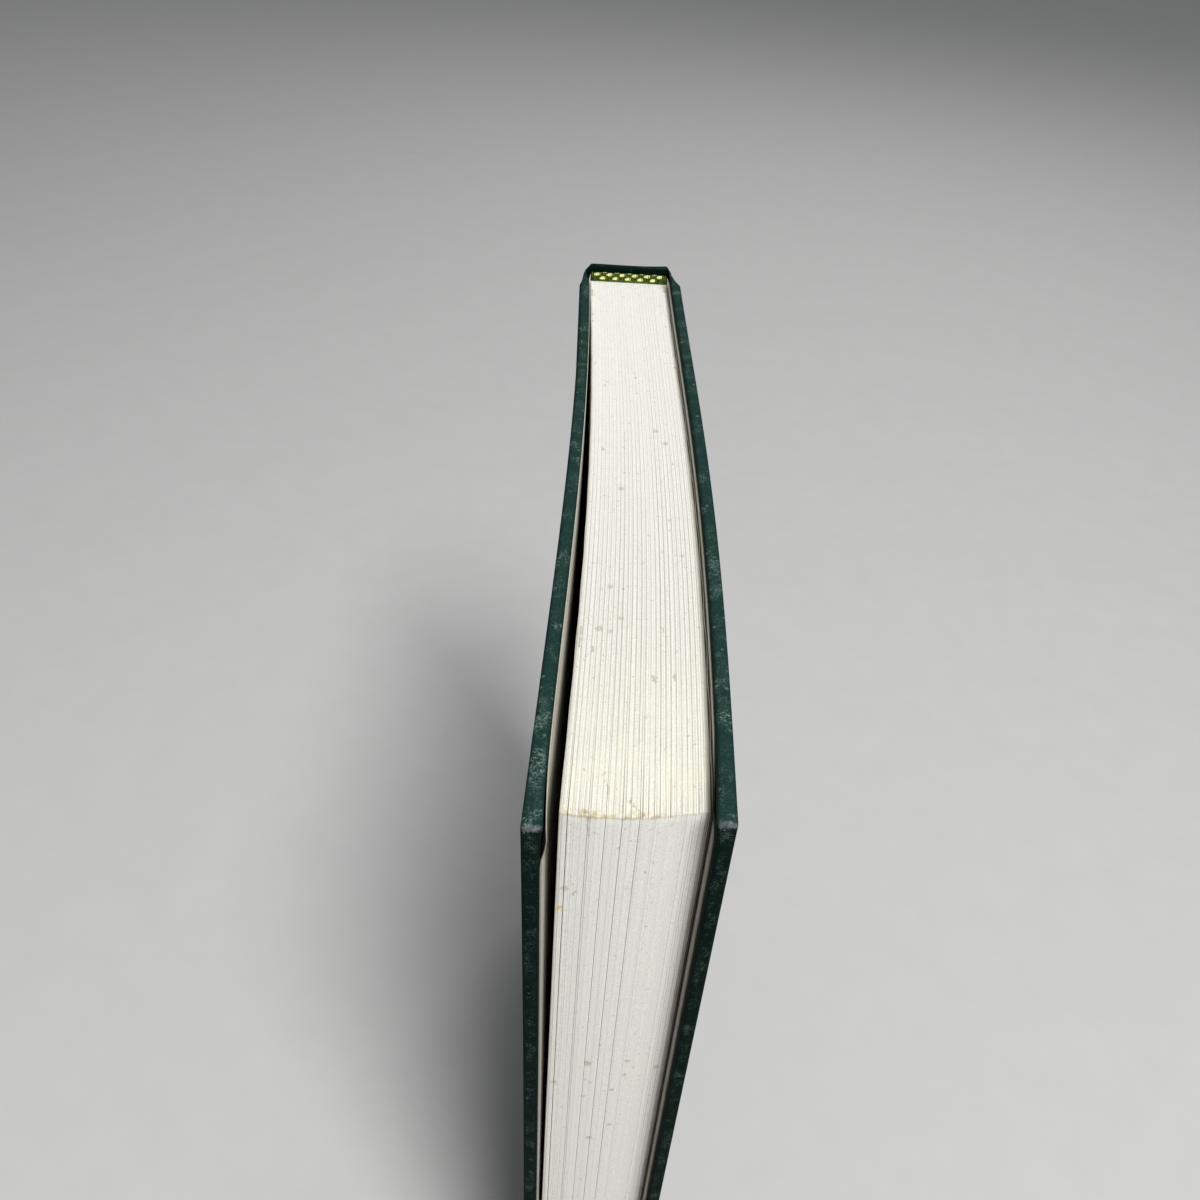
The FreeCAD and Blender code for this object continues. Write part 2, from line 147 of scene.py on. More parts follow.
KERF_COUNT, KERF_FROM_END = 5, 12.0 * MM
SECTIONS = 26
LEAVES_PER_SECTION = 8


# Curves of the book ------------------------------

def smooth(t):
    t = min(max(t, 0.0), 1.0)
    return t * t * (3 - 2 * t)


def block_side(side, y):
    """Reach of the outermost leaf."""
    u = max((SHOULDER_Y - y) / (SHOULDER_Y - FORE_Y), 0.0)
    if side == FRONT:
        return HALF_BLOCK + SWELL[FRONT] * u - BOW_FRONT * math.sin(math.pi * u)
    return HALF_BLOCK + SWELL[BACK] * u + BOW_BACK * math.sin(math.pi * u ** BOW_BACK_LEAN)


def front_lift(z):
    """How far the front cover's fore edge stands off the leaves."""
    head, middle, tail = FRONT_LIFT
    t = 2 * (HEIGHT - z) / HEIGHT
    bend = (head - 2 * middle + tail) / 2
    return head + (middle - head - bend) * t + bend * t * t


def board_side(side, y, z):
    """Reach of a board's inner face."""
    papers = PAPER + COVER_CLEARANCE + PAPER + CLOTH
    if side == BACK:
        return block_side(BACK, y) + papers
    u = max((SHOULDER_Y - y) / (SHOULDER_Y - COVER_FORE_Y[FRONT]), 0.0)
    bow = FRONT_BOW * math.sin(math.pi * u) * (1 + FRONT_BOW_LEAN * (1 - 2 * u))
    return HALF_BLOCK + papers - bow + front_lift(z) * u * u


def corner_swell(side, y, z):
    """How far the folded cloth swells the inner face at the cover's corners."""
    along = math.exp(-(y - COVER_FORE_Y[side]) / CORNER_SWELL_FADES[0])
    return CORNER_SWELL * along * math.exp(-min(z, HEIGHT - z) / CORNER_SWELL_FADES[1])


def joint_fullness(side, y, z):
    """How far the doubled cloth at head and tail keeps the joint from sinking in."""
    t = (CORNER_Y - y) / (CORNER_Y - BOARD_SPINE_Y[side])
    stiff = math.exp(-min(z, HEIGHT - z) / JOINT_STIFF_END)
    return JOINT_FULLNESS[side] * math.sin(math.pi * min(max(t, 0.0), 1.0)) * stiff


def hermite(t, a, b, slope_a, slope_b):
    """A cubic from a to b with those slopes, t running from 0 to 1."""
    return (a * (2 * t**3 - 3 * t**2 + 1) + slope_a * (t**3 - 2 * t**2 + t)
            + b * (3 * t**2 - 2 * t**3) + slope_b * (t**3 - t**2))


def joint_reach(side, y, z):
    """Reach of the cloth's outside from the spine's corner down the joint to the board."""
    spine, hinge, board = JOINT_SLOPES
    if y > HINGE_Y:
        run = CORNER_Y - HINGE_Y
        cloth = hermite((CORNER_Y - y) / run, SPINE_HALF, HINGE_REACH, spine * run, hinge * run)
    else:
        run = HINGE_Y - BOARD_SPINE_Y[side]
        over_board = board_side(side, BOARD_SPINE_Y[side], z) + BOARD + CLOTH
        cloth = hermite((HINGE_Y - y) / run, HINGE_REACH, over_board, hinge * run, board * run)
    return cloth + joint_fullness(side, y, z)


def spread(first, last, count):
    return [first + (last - first) * i / (count - 1) for i in range(count)]


# Mesh building -----------------------------------

EDGE_STEPS = (0.0, 0.423, 0.732, 1.0)   # even turns of a rounded edge, as shares of its radius


def rounded_run(low, high, radius, between):
    """Places from low to high that lie close together in the rounding at each end."""
    first = [low + radius * s for s in EDGE_STEPS]
    last = [high - radius * s for s in reversed(EDGE_STEPS)]
    return first + list(between) + last


def lattice_mesh(name, counts, place, faces, mirrored, flat=None):
    """A mesh over chosen faces of a lattice box, each corner where place(i, j, k) says.

    faces maps "i0", "i1", "j0", "j1", "k0" and "k1" to a test of two cell numbers. place returns
    a point and its attributes, and flat the place of a corner in the flat sheet.
    """
    ni, nj, nk = counts
    corner, points, values = {}, [], []

    def vertex(i, j, k):
        if (i, j, k) not in corner:
            corner[i, j, k] = len(points)
            point, attributes = place(i, j, k)
            points.append(point)
            values.append(attributes)
        return corner[i, j, k]

    quads, sheets = [], []
    runs = {"i": (nj, nk), "j": (nk, ni), "k": (ni, nj)}
    for key, wanted in faces.items():
        axis, end = key[0], int(key[1])
        for a in range(runs[axis][0]):
            for b in range(runs[axis][1]):
                if not wanted(a, b):
                    continue
                ring = [(a, b), (a + 1, b), (a + 1, b + 1), (a, b + 1)]
                if (end == 0) != mirrored:
                    ring.reverse()
                cells = {
                    "i": [(end * ni, p, q) for p, q in ring],
                    "j": [(q, end * nj, p) for p, q in ring],
                    "k": [(p, q, end * nk) for p, q in ring],
                }[axis]
                quads.append([vertex(*c) for c in cells])
                if flat:
                    sheets.extend(flat(key, *c) for c in cells)
    mesh = bpy.data.meshes.new(name)
    mesh.from_pydata(points, [], quads)
    for key in values[0]:
        layer = mesh.attributes.new(key, "FLOAT", "POINT")
        layer.data.foreach_set("value", [v[key] for v in values])
    if flat:
        layer = mesh.uv_layers.new(name="sheet")
        layer.data.foreach_set("uv", [c for pair in sheets for c in pair])
    mesh.shade_smooth()
    return mesh


def piece(name, mesh, material=None):
    made = bpy.data.objects.new(name, mesh)
    bpy.context.scene.collection.objects.link(made)
    if material:
        mesh.materials.append(material)
    return made


def finished(made):
    """Turns a piece and its modifiers into a plain mesh."""
    bpy.context.view_layer.update()
    graph = bpy.context.evaluated_depsgraph_get()
    mesh = bpy.data.meshes.new_from_object(made.evaluated_get(graph))
    mesh.name = made.name
    made.modifiers.clear()
    made.data = mesh
    return made


def everywhere(a, b):
    return True


# Node building -----------------------------------

class Maker:
    """Adds nodes to a tree. Any input may be given a socket to link or a plain value."""

    def __init__(self, tree):
        self.tree = tree

    def feed(self, socket, value):
        if isinstance(value, bpy.types.NodeSocket):
            self.tree.links.new(value, socket)
        else:
            socket.default_value = value

    def node(self, kind, inputs=None, **settings):
        made = self.tree.nodes.new(kind)
        for key, value in settings.items():
            setattr(made, key, value)
        for key, value in (inputs or {}).items():
            self.feed(made.inputs[key], value)
        return made

    def math(self, operation, *values, clamp=False):
        made = self.tree.nodes.new("ShaderNodeMath")
        made.operation, made.use_clamp = operation, clamp
        for socket, value in zip(made.inputs, values):
            self.feed(socket, value)
        return made.outputs[0]

    def times(self, a, b):
        return self.math("MULTIPLY", a, b)

    def plus(self, a, b):
        return self.math("ADD", a, b)

    def minus(self, a, b):
        return self.math("SUBTRACT", a, b)

    def times_plus(self, a, b, c):
        return self.math("MULTIPLY_ADD", a, b, c)

    def vectors(self, operation, a, b):
        """Two vectors, or a vector and its scale, put together: the vector and the value."""
        key = "Scale" if operation == "SCALE" else 1
        return self.node("ShaderNodeVectorMath", {0: a, key: b}, operation=operation).outputs

    def vector(self, x=0.0, y=0.0, z=0.0):
        return self.node("ShaderNodeCombineXYZ", {"X": x, "Y": y, "Z": z}).outputs[0]

    def parts(self, vector):
        return self.node("ShaderNodeSeparateXYZ", {"Vector": vector}).outputs

    def ramp(self, value, low, high, to_low=0.0, to_high=1.0):
        """value from low..high, eased to to_low..to_high."""
        made = self.node("ShaderNodeMapRange", {
            "Value": value, "From Min": low, "From Max": high,
            "To Min": to_low, "To Max": to_high,
        }, interpolation_type="SMOOTHSTEP")
        return made.outputs["Result"]

    def mix(self, factor, a, b):
        made = self.node("ShaderNodeMix", data_type="RGBA")
        for index, value in ((0, factor), (6, a), (7, b)):
            self.feed(made.inputs[index], value)
        return made.outputs[2]

    def noise(self, vector, scale, detail=3.0, roughness=0.55):
        made = self.node("ShaderNodeTexNoise", {
            "Vector": vector, "Scale": scale, "Detail": detail, "Roughness": roughness,
        })
        return made.outputs["Fac"]

    def stretch(self, vector, scale):
        made = self.node("ShaderNodeMapping", {"Vector": vector, "Scale": scale})
        return made.outputs["Vector"]


def colour(red, green, blue):
    """A colour from the eight-bit values of a swatch."""
    def linear(c):
        c /= 255
        return c / 12.92 if c <= 0.04045 else ((c + 0.055) / 1.055) ** 2.4
    return (linear(red), linear(green), linear(blue), 1.0)


def group(name, inputs, outputs, fill):
    """A shader node group. inputs and outputs map a socket's name to its kind or first value."""
    tree = bpy.data.node_groups.new(name, "ShaderNodeTree")
    for key, value in inputs.items():
        kind = "NodeSocketVector" if value is None else "NodeSocketFloat"
        socket = tree.interface.new_socket(name=key, in_out="INPUT", socket_type=kind)
        if value is not None:
            socket.default_value = value
    for key in outputs:
        tree.interface.new_socket(name=key, in_out="OUTPUT", socket_type="NodeSocketFloat")
    make = Maker(tree)
    entry, leave = make.node("NodeGroupInput"), make.node("NodeGroupOutput")
    for key, socket in fill(make, entry.outputs).items():
        make.feed(leave.inputs[key], socket)
    return tree


def fill_weave(make, given):
    """Plain weave: each thread rises over one neighbour and dips under the next."""
    parts = make.parts(given["Sheet"])
    along = make.times(parts["X"], given["Threads"])
    across = make.times(parts["Y"], given["Threads"])
    warp, weft = (make.math("ABSOLUTE", make.math("SINE", make.times(way, math.pi)))
                  for way in (along, across))
    steps = make.plus(make.math("FLOOR", along), make.math("FLOOR", across))
    over = make.math("PINGPONG", steps, 1.0)
    rise = make.plus(make.times(warp, over), make.times(weft, make.minus(1.0, over)))
    slub = make.noise(given["Sheet"], 900.0, 2.0)
    return {"Height": make.times(rise, make.plus(slub, 0.5))}


def fill_specks(make, given):
    """Small round spots of uneven size, scattered thinly."""
    cells = make.node("ShaderNodeTexVoronoi", {
        "Vector": given["Vector"], "Scale": given["Scale"], "Randomness": 1.0,
    })
    shades = make.node("ShaderNodeSeparateColor", {"Color": cells.outputs["Color"]}).outputs
    chosen = make.ramp(shades[0], make.minus(1.0, given["Amount"]), 1.0)
    edge = make.minus(cells.outputs["Distance"], make.times(chosen, 0.42))
    ragged = make.noise(given["Vector"], make.times(given["Scale"], 4.0))
    ragged = make.times(make.minus(ragged, 0.5), 0.35)
    mask = make.ramp(make.plus(edge, ragged), 0.03, -0.12)
    return {"Mask": make.math("MULTIPLY", mask, chosen, clamp=True)}


def fill_rubbing(make, given):
    """Scuffed patches where the surface stands out, broken up by its own texture."""
    broad = make.noise(given["Vector"], 380.0, 5.0, 0.7)
    fine = make.noise(given["Vector"], 3600.0, 4.0, 0.7)
    both = make.times(make.plus(broad, fine), 0.5)
    level = make.plus(both, make.times(given["Wear"], 0.3))
    return {"Mask": make.ramp(level, given["From"], make.plus(given["From"], 0.16))}


def fill_smear(make, given):
    """A mark that runs straight from Start to End, with a ragged edge."""
    run = make.vectors("SUBTRACT", given["End"], given["Start"])[0]
    here = make.vectors("SUBTRACT", given["Vector"], given["Start"])[0]
    share = make.math("DIVIDE", make.vectors("DOT_PRODUCT", here, run)["Value"],
                      make.vectors("DOT_PRODUCT", run, run)["Value"], clamp=True)
    nearest = make.vectors("SCALE", run, share)[0]
    gap = make.vectors("DISTANCE", here, nearest)["Value"]
    edge = make.minus(gap, make.times(given["Width"], given["Ragged"]))
    return {"Mask": make.ramp(make.math("DIVIDE", edge, given["Width"]), 0.5, -0.6)}


WEAVE = group("cloth_weave", {"Sheet": None, "Threads": 2600.0}, ("Height",), fill_weave)
SPECKS = group("scattered_specks", {"Vector": None, "Scale": 400.0, "Amount": 0.1},
               ("Mask",), fill_specks)
RUBBING = group("edge_rubbing", {"Vector": None, "Wear": 0.0, "From": 0.7},
                ("Mask",), fill_rubbing)
SMEAR = group("smear", {"Vector": None, "Start": None, "End": None, "Width": 0.3 * MM,
                        "Ragged": 1.0}, ("Mask",), fill_smear)


def material(name, fill):
    """A material whose Principled shader is fed by fill(make, shader, place)."""
    made = bpy.data.materials.new(name)
    made.use_nodes = True
    shader = made.node_tree.nodes["Principled BSDF"]
    make = Maker(made.node_tree)
    fill(make, shader.inputs, make.node("ShaderNodeTexCoord").outputs["Object"])
    return made


def placed(make, tree, **inputs):
    made = make.node("ShaderNodeGroup", node_tree=tree)
    for key, value in inputs.items():
        make.feed(made.inputs[key], value)
    return made.outputs[0]


def attribute(make, name):
    return make.node("ShaderNodeAttribute", attribute_name=name).outputs["Fac"]


def bump(make, shader, height, strength, distance):
    made = make.node("ShaderNodeBump", {
        "Height": height, "Strength": strength, "Distance": distance,
    })
    make.feed(shader["Normal"], made.outputs["Normal"])


def coated(make, shader, tint, roughness, gloss=0.5):
    make.feed(shader["Base Color"], tint)
    make.feed(shader["Roughness"], roughness)
    shader["Specular IOR Level"].default_value = gloss


def stained(make, base, mask, depth, *swatch):
    """A colour that is stained, to the given depth where the mask is full."""
    return make.mix(make.times(mask, depth), base, colour(*swatch))


def blended(make, mask, first, second):
    """One swatch where the mask is empty and the other where it is full."""
    return make.mix(mask, colour(*first), colour(*second))


# Materials ---------------------------------------

def green_cloth(make, shader, place):
    sheet = make.node("ShaderNodeUVMap", uv_map="sheet").outputs["UV"]
    weave = placed(make, WEAVE, Sheet=sheet, Threads=2400.0)
    mottle = make.noise(place, 700.0, 5.0, 0.65)
    tint = blended(make, make.ramp(mottle, 0.3, 0.7), (4, 18, 15), (9, 28, 23))
    # Painted highlight on the raised threads of the weave
    tint = stained(make, tint, weave, 0.2, 16, 42, 35)
    # A dusting on the cloth's tops near the head, with a painted sheen that lightens them where the
    # light falls
    dust_sheen_mask = attribute(make, "top_dust")
    film = make.ramp(make.noise(place, 1800.0, 4.0, 0.65), 0.25, 0.75, 0.55, 1.0)
    tint = stained(make, tint, make.times(dust_sheen_mask, film), 0.8, 40, 68, 62)
    scuffs = placed(make, RUBBING, Vector=place, Wear=attribute(make, "edge_wear"), From=0.80)
    tint = stained(make, tint, scuffs, 0.38, 112, 138, 126)
    specks = placed(make, SPECKS, Vector=place, Scale=1300.0, Amount=0.14)
    tint = stained(make, tint, specks, make.times_plus(dust_sheen_mask, 0.35, 0.08), 118, 134, 126)
    lint = make.times(make.ramp(make.noise(place, 200.0), 0.51, 0.67),
                      make.ramp(make.noise(place, 2300.0, 4.0, 0.7), 0.47, 0.63))
    tint = stained(make, tint, make.times(lint, dust_sheen_mask), 0.75, 122, 146, 138)
    corner = make.times(attribute(make, "corner_wear"), 1.8)
    bare = placed(make, RUBBING, Vector=place, Wear=corner, From=0.80)
    frayed = make.ramp(make.noise(place, 1500.0, 4.0, 0.65), 0.3, 0.7, 0.25, 0.68)
    tint = stained(make, tint, bare, frayed, 144, 147, 147)
    rough = make.math("ADD", 0.75, make.times(scuffs, 0.2), clamp=True)
    coated(make, shader, tint, rough, 0.03)
    bump(make, shader, make.plus(weave, make.times(mottle, 0.8)), 0.5, 0.06 * MM)


# Marks on the leaves' edges, in mm: across from the middle, in from the fore edge and down from
# the head, where they start and end, then how wide they are
BROWN_MARKS = (
    ((2.7, 23.9, 0), (2.9, 23.4, 0), 0.36), ((5.6, 24.7, 0), (5.7, 23.5, 0), 0.2),
    ((4.3, 34.3, 0), (4.35, 33.6, 0), 0.18), ((-5.9, 29.7, 0), (-5.8, 28.7, 0), 0.18),
    ((-7.55, 34, 0), (-7.8, 29.5, 0), 0.14), ((-4.4, 5.7, 0), (-3.7, 6.3, 0), 0.18),
    ((-3.45, 4.2, 0), (-3.3, 2.0, 0), 0.2), ((-0.9, 1.9, 0), (1.1, -0.3, 0), 0.2),
    ((-6.3, 0, 0), (-5.9, -0.2, 0.1), 0.3), ((2.1, -0.5, 0), (3.7, -0.5, 0.1), 0.16),
    ((-8.4, 151, 0), (-8.3, 148, 0), 0.3), ((8.1, 155.4, 0), (8.5, 152.0, 0), 0.5),
    ((-3.3, -0.6, 60.0), (-3.0, -0.6, 60.7), 0.5), ((1.0, -0.6, 69.1), (1.3, -0.6, 69.0), 0.25),
)
GREY_MARKS = (
    ((-5.8, -0.6, 0.3), (-5.6, -0.6, 4.4), 0.17), ((-7.1, -0.6, 16.3), (-6.7, -0.6, 15.6), 0.2),
    ((1.6, -0.6, 2.9), (2.5, -0.6, 2.1), 0.12), ((1.9, -0.6, 11), (1.95, -0.6, 11.3), 0.14),
    ((-3.4, -0.6, 65.6), (-2.4, -0.6, 66.6), 0.2), ((-3.6, -0.6, 71.4), (-3.2, -0.6, 71.0), 0.26),
    ((4.25, 71.5, 0), (7.2, 76.9, 0), 0.05), ((7.2, 76.9, 0), (8.6, 78.8, 0), 0.05),
)
CRUMB = (((-8.95, -0.6, 19.9), (-8.8, -0.6, 19.4), 0.32),)


def marks(make, place, ragged, places):
    """Where the leaves' edges carry any of the marks."""
    total = 0.0
    for start, end, width in places:
        start, end = (Vector((MIDDLE_X + across * MM, FORE_Y + deep * MM, HEAD_Z - down * MM))
                      for across, deep, down in (start, end))
        mark = placed(make, SMEAR, Vector=place, Start=start, End=end, Width=width * MM,
                      Ragged=ragged)
        total = make.math("MAXIMUM", mark, total)
    return total


def soil_and_shade_mask(make, place, least):
    """Where the dirt and the painted shade of the edges lie, thinned unevenly to no less than the
    given share.
    """
    patchy = make.ramp(make.noise(place, 240.0), 0.2, 0.7, least, 1.0)
    return make.times(attribute(make, "soiled"), patchy)


def page_paper(make, shader, place):
    parts = make.parts(place)
    paper = stained(make, colour(250, 249, 243), attribute(make, "tone"), 0.45, 232, 230, 222)
    at_head = make.ramp(parts["Z"], HEAD_Z - 0.9 * MM, HEAD_Z - 0.2 * MM)
    to_fore = make.ramp(parts["Y"], FORE_Y + 160 * MM, FORE_Y + 10 * MM)
    # Painted shade in the valleys between sections, strongest at the head and towards the fore edge
    shaded = make.times(to_fore, make.times_plus(at_head, 0.72, 0.05))
    paper = stained(make, paper, attribute(make, "section_valley_shade"), shaded, 150, 144, 116)
    cream = make.times(make.ramp(parts["Y"], FORE_Y + 40 * MM, FORE_Y), at_head)
    cream = make.times(cream, make.ramp(make.noise(place, 160.0), 0.25, 0.75, 0.3, 0.9))
    paper = stained(make, paper, cream, 0.75, 252, 247, 224)
    rim = make.times(at_head, make.ramp(parts["Y"], FORE_Y + 0.7 * MM, FORE_Y - 0.5 * MM))
    foxed = make.times(rim, make.ramp(make.noise(place, 900.0, 4.0), 0.42, 0.58))
    paper = stained(make, paper, foxed, 0.75, 204, 184, 118)
    grain = make.ramp(make.noise(place, 3400.0, 3.0, 0.7), 0.35, 0.65, 0.0, 0.3)
    paper = make.mix(grain, paper, colour(196, 196, 188))
    spots = placed(make, SPECKS, Vector=place, Scale=620.0, Amount=0.05)
    paper = stained(make, paper, spots, 0.4, 166, 150, 112)
    flecks = make.ramp(make.noise(place, 1500.0, 2.0, 0.5), 0.66, 0.74)
    paper = stained(make, paper, flecks, 0.35, 140, 136, 118)
    # Dirt on the first leaves, and painted shade on the last leaves beside the back board
    paper = stained(make, paper, soil_and_shade_mask(make, place, 0.7), 0.75, 150, 147, 128)
    ragged = make.ramp(make.noise(place, 1700.0, 4.0, 0.7), 0.3, 0.7, 0.3, 1.7)
    for places, depth, swatch in ((BROWN_MARKS, 0.5, (158, 134, 84)),
                                  (GREY_MARKS, 0.35, (136, 132, 120)),
                                  (CRUMB, 0.95, (238, 198, 108))):
        paper = stained(make, paper, marks(make, place, ragged, places), depth, *swatch)
    coated(make, shader, paper, 0.9, 0.2)
    fibres = make.noise(make.stretch(place, (900, 500, 500)), 1.0, 4.0, 0.6)
    bump(make, shader, fibres, 0.4, 0.03 * MM)


def endpaper(make, shader, place):
    fibres = make.noise(place, 1400.0, 4.0, 0.65)
    cloud = make.ramp(make.noise(place, 24.0, 4.0, 0.6), 0.35, 0.7)
    paper = blended(make, cloud, (243, 241, 233), (232, 228, 215))
    spots = placed(make, SPECKS, Vector=place, Scale=260.0, Amount=0.12)
    faded = make.ramp(make.noise(place, 1900.0, 4.0, 0.7), 0.3, 0.7, 0.1, 0.55)
    paper = stained(make, paper, spots, faded, 178, 148, 104)
    edge = attribute(make, "edge_wear")
    toned = make.times(edge, make.ramp(make.noise(place, 90.0), 0.3, 0.7))
    paper = stained(make, paper, toned, 0.2, 198, 184, 152)
    # Dirt and painted shade right along the leaf's edges, which stand in the dark between board and
    # leaves
    rim = make.ramp(fibres, 0.3, 0.6, 0.3, 0.6)
    paper = stained(make, paper, make.math("POWER", edge, 9.0), rim, 150, 146, 128)
    # Dirt and painted shade towards the fore edge, where the leaf lies between board and leaves
    paper = make.mix(soil_and_shade_mask(make, place, 0.86), paper, colour(84, 80, 67))
    coated(make, shader, paper, 0.85, 0.2)
    bump(make, shader, fibres, 0.35, 0.03 * MM)


def yarn(first, second):
    def fill(make, shader, place):
        twist = make.noise(make.stretch(place, (1500, 3800, 3800)), 1.0, 2.0)
        tint = blended(make, make.ramp(twist, 0.35, 0.65), first, second)
        coated(make, shader, tint, 0.55, 0.25)
        bump(make, shader, twist, 0.6, 0.05 * MM)
    return fill


def board_or_card(first, second, grain):
    def fill(make, shader, place):
        pulp = make.noise(place, grain, 5.0, 0.7)
        coated(make, shader, blended(make, make.ramp(pulp, 0.3, 0.7), first, second), 0.9)
        bump(make, shader, pulp, 0.5, 0.05 * MM)
    return fill


def mull_gauze(make, shader, place):
    parts = make.parts(place)
    flat = make.vector(make.plus(parts["X"], parts["Y"]), parts["Z"])
    weave = placed(make, WEAVE, Sheet=flat, Threads=900.0)
    coated(make, shader, blended(make, weave, (168, 158, 132), (226, 220, 200)), 0.85)
    bump(make, shader, weave, 0.7, 0.08 * MM)


def linen_thread(make, shader, place):
    ply = make.noise(make.stretch(place, (2500, 900, 900)), 1.0, 2.0)
    coated(make, shader, blended(make, ply, (206, 198, 176), (236, 230, 212)), 0.7)
    bump(make, shader, ply, 0.6, 0.05 * MM)


def studio_floor(make, shader, place):
    speck = make.noise(place, 60.0, 5.0, 0.6)
    coated(make, shader, blended(make, speck, (214, 214, 212), (222, 222, 220)), 0.9)


GREEN_CLOTH = material("green_cloth", green_cloth)
PAGE_PAPER = material("page_paper", page_paper)
ENDPAPER = material("endpaper", endpaper)
GREEN_YARN = material("green_yarn", yarn((34, 58, 6), (74, 100, 20)))
YELLOW_YARN = material("yellow_yarn", yarn((234, 222, 112), (250, 246, 176)))
GREY_BOARD = material("grey_board", board_or_card((132, 126, 116), (160, 154, 142), 900))
INLAY_CARD = material("inlay_card", board_or_card((150, 142, 126), (172, 164, 148), 700))
LINING_PAPER = material("lining_paper", board_or_card((176, 144, 98), (196, 166, 120), 600))
MULL = material("mull_gauze", mull_gauze)
THREAD = material("linen_thread", linen_thread)


# Case cloth --------------------------------------

def case_levels():
    """Heights of the cloth's lattice, closer at head and tail and with one at each turn-in."""
    low, high = CLOTH_EDGE_RADIUS, HEIGHT - CLOTH_EDGE_RADIUS
    near = [h * MM for h in (1.4, 2.6, 4.5, 7.5, 11.0)] + [TURN_IN]
    middle = spread(TURN_IN, HEIGHT - TURN_IN, 41)[1:-1]
    between = near + middle + [HEIGHT - z for z in reversed(near)]
    return rounded_run(0.0, HEIGHT, CLOTH_EDGE_RADIUS, [z for z in between if low < z < high])


LEVELS = case_levels()
TAIL_TURN_IN = LEVELS.index(TURN_IN)
HEAD_TURN_IN = len(LEVELS) - 1 - TAIL_TURN_IN
THROUGH = 2 * len(EDGE_STEPS)      # cells through the thickness of the wrapped board


def case_stations(side):
    """The line of the case in plan: round the spine's corner, down the joint, over the board."""
    spine_edge, fore_edge = BOARD_SPINE_Y[side], COVER_FORE_Y[side]
    corner = [("corner", a) for a in spread(0.0, math.pi / 2, 6)]
    joint = [("joint", y) for y in spread(CORNER_Y, spine_edge, 24)[1:]]
    board = [("board", y) for y in
             spread(spine_edge, fore_edge + TURN_IN, 34)[1:]
             + spread(fore_edge + TURN_IN, fore_edge + 1.2 * MM, 12)[1:]]
    fore = [("board", fore_edge + CLOTH_EDGE_RADIUS * s) for s in reversed(EDGE_STEPS)]
    return corner + joint + board + fore


STATIONS = {side: case_stations(side) for name, side in SIDES}


def case_section(side, station, z):
    """Outer and inner point, as (reach, y), of the case at one station and height."""
    kind, value = station
    inner_y = CORNER_Y - CAP + 2 * CLOTH
    middle = SPINE_HALF - SPINE_CORNER
    if kind == "corner":
        wall = joint_reach(side, inner_y, z) - 2 * CLOTH - middle
        outer = (middle + SPINE_CORNER * math.sin(value), CORNER_Y + SPINE_CORNER * math.cos(value))
        inner = (middle + wall * math.sin(value),
                 inner_y + (SPINE_Y - CAP - inner_y) * math.cos(value))
        return outer, inner
    if kind == "joint":
        outer = (joint_reach(side, value, z), value)
        if value > HINGE_Y:
            y = inner_y + (HINGE_Y - inner_y) * (CORNER_Y - value) / (CORNER_Y - HINGE_Y)
            return outer, (joint_reach(side, y, z) - 2 * CLOTH, y)
        past_hinge = (HINGE_Y + CLOTH - value) / (HINGE_Y - BOARD_SPINE_Y[side])
        board = BOARD * min(past_hinge, 1.0) ** JOINT_THICKENS
        inner = max(outer[0] - 2 * CLOTH - board, board_side(side, value, z) - CLOTH)
        return outer, (inner, value)
    inner = board_side(side, value, z) - CLOTH
    return (inner + BOARD + 2 * CLOTH, value), (inner - corner_swell(side, value, z), value)


def head_drop(reach, y):
    """How far the worn head of the spine lies below the boards' ends, reach being < 0 in front."""
    across = 1 - min(abs(reach) / (SPINE_HALF - SPINE_CORNER), 1.0) ** 2
    from_board = y - BOARD_SPINE_Y[FRONT]
    past_boards = smooth(from_board / (SPINE_Y - BOARD_SPINE_Y[FRONT] - WORN_HEAD_START))
    everywhere_dip, middle_dip, lean = WORN_HEAD
    leaning = lean * min(max(-reach / SPINE_HALF, -1.0), 1.0)
    dip = everywhere_dip + middle_dip * across + leaning * (1 - across)
    return SPINE_DIP * past_boards * dip


def edge_radius(thickness):
    return min(CLOTH_EDGE_RADIUS, CLOTH_EDGE_SHARE * thickness)


def over_edge(offset, radius):
    """An offset past the flat of a face, brought on to the rounded edge."""
    if offset.length > 1e-9:
        offset *= radius / offset.length
    return offset


def wrapped_point(side, station, z, share):
    """A point of the cloth's outside."""
    outer, inner = case_section(side, station, z)
    thickness = math.hypot(outer[0] - inner[0], outer[1] - inner[1])
    radius = edge_radius(thickness)
    n = rounded_run(0.0, thickness, radius, [thickness / 2])[share]
    y = station[1] if station[0] == "board" else outer[1]
    flat_y = max(y, COVER_FORE_Y[side] + radius)
    flat_z = min(max(z, radius), HEIGHT - radius)
    flat_n = min(max(n, radius), thickness - radius)
    off = over_edge(Vector((y - flat_y, z - flat_z, n - flat_n)), radius)
    new_z, new_n = flat_z + off.y, flat_n + off.z
    if station[0] == "board":
        new_y = flat_y + off.x
        reach = case_section(side, ("board", new_y), new_z)[1][0] + new_n
    else:
        t = new_n / thickness
        reach = inner[0] + (outer[0] - inner[0]) * t
        new_y = inner[1] + (outer[1] - inner[1]) * t
    new_z *= 1 - head_drop(side * reach, new_y) / HEIGHT
    return Vector((MIDDLE_X + side * reach, new_y, new_z))


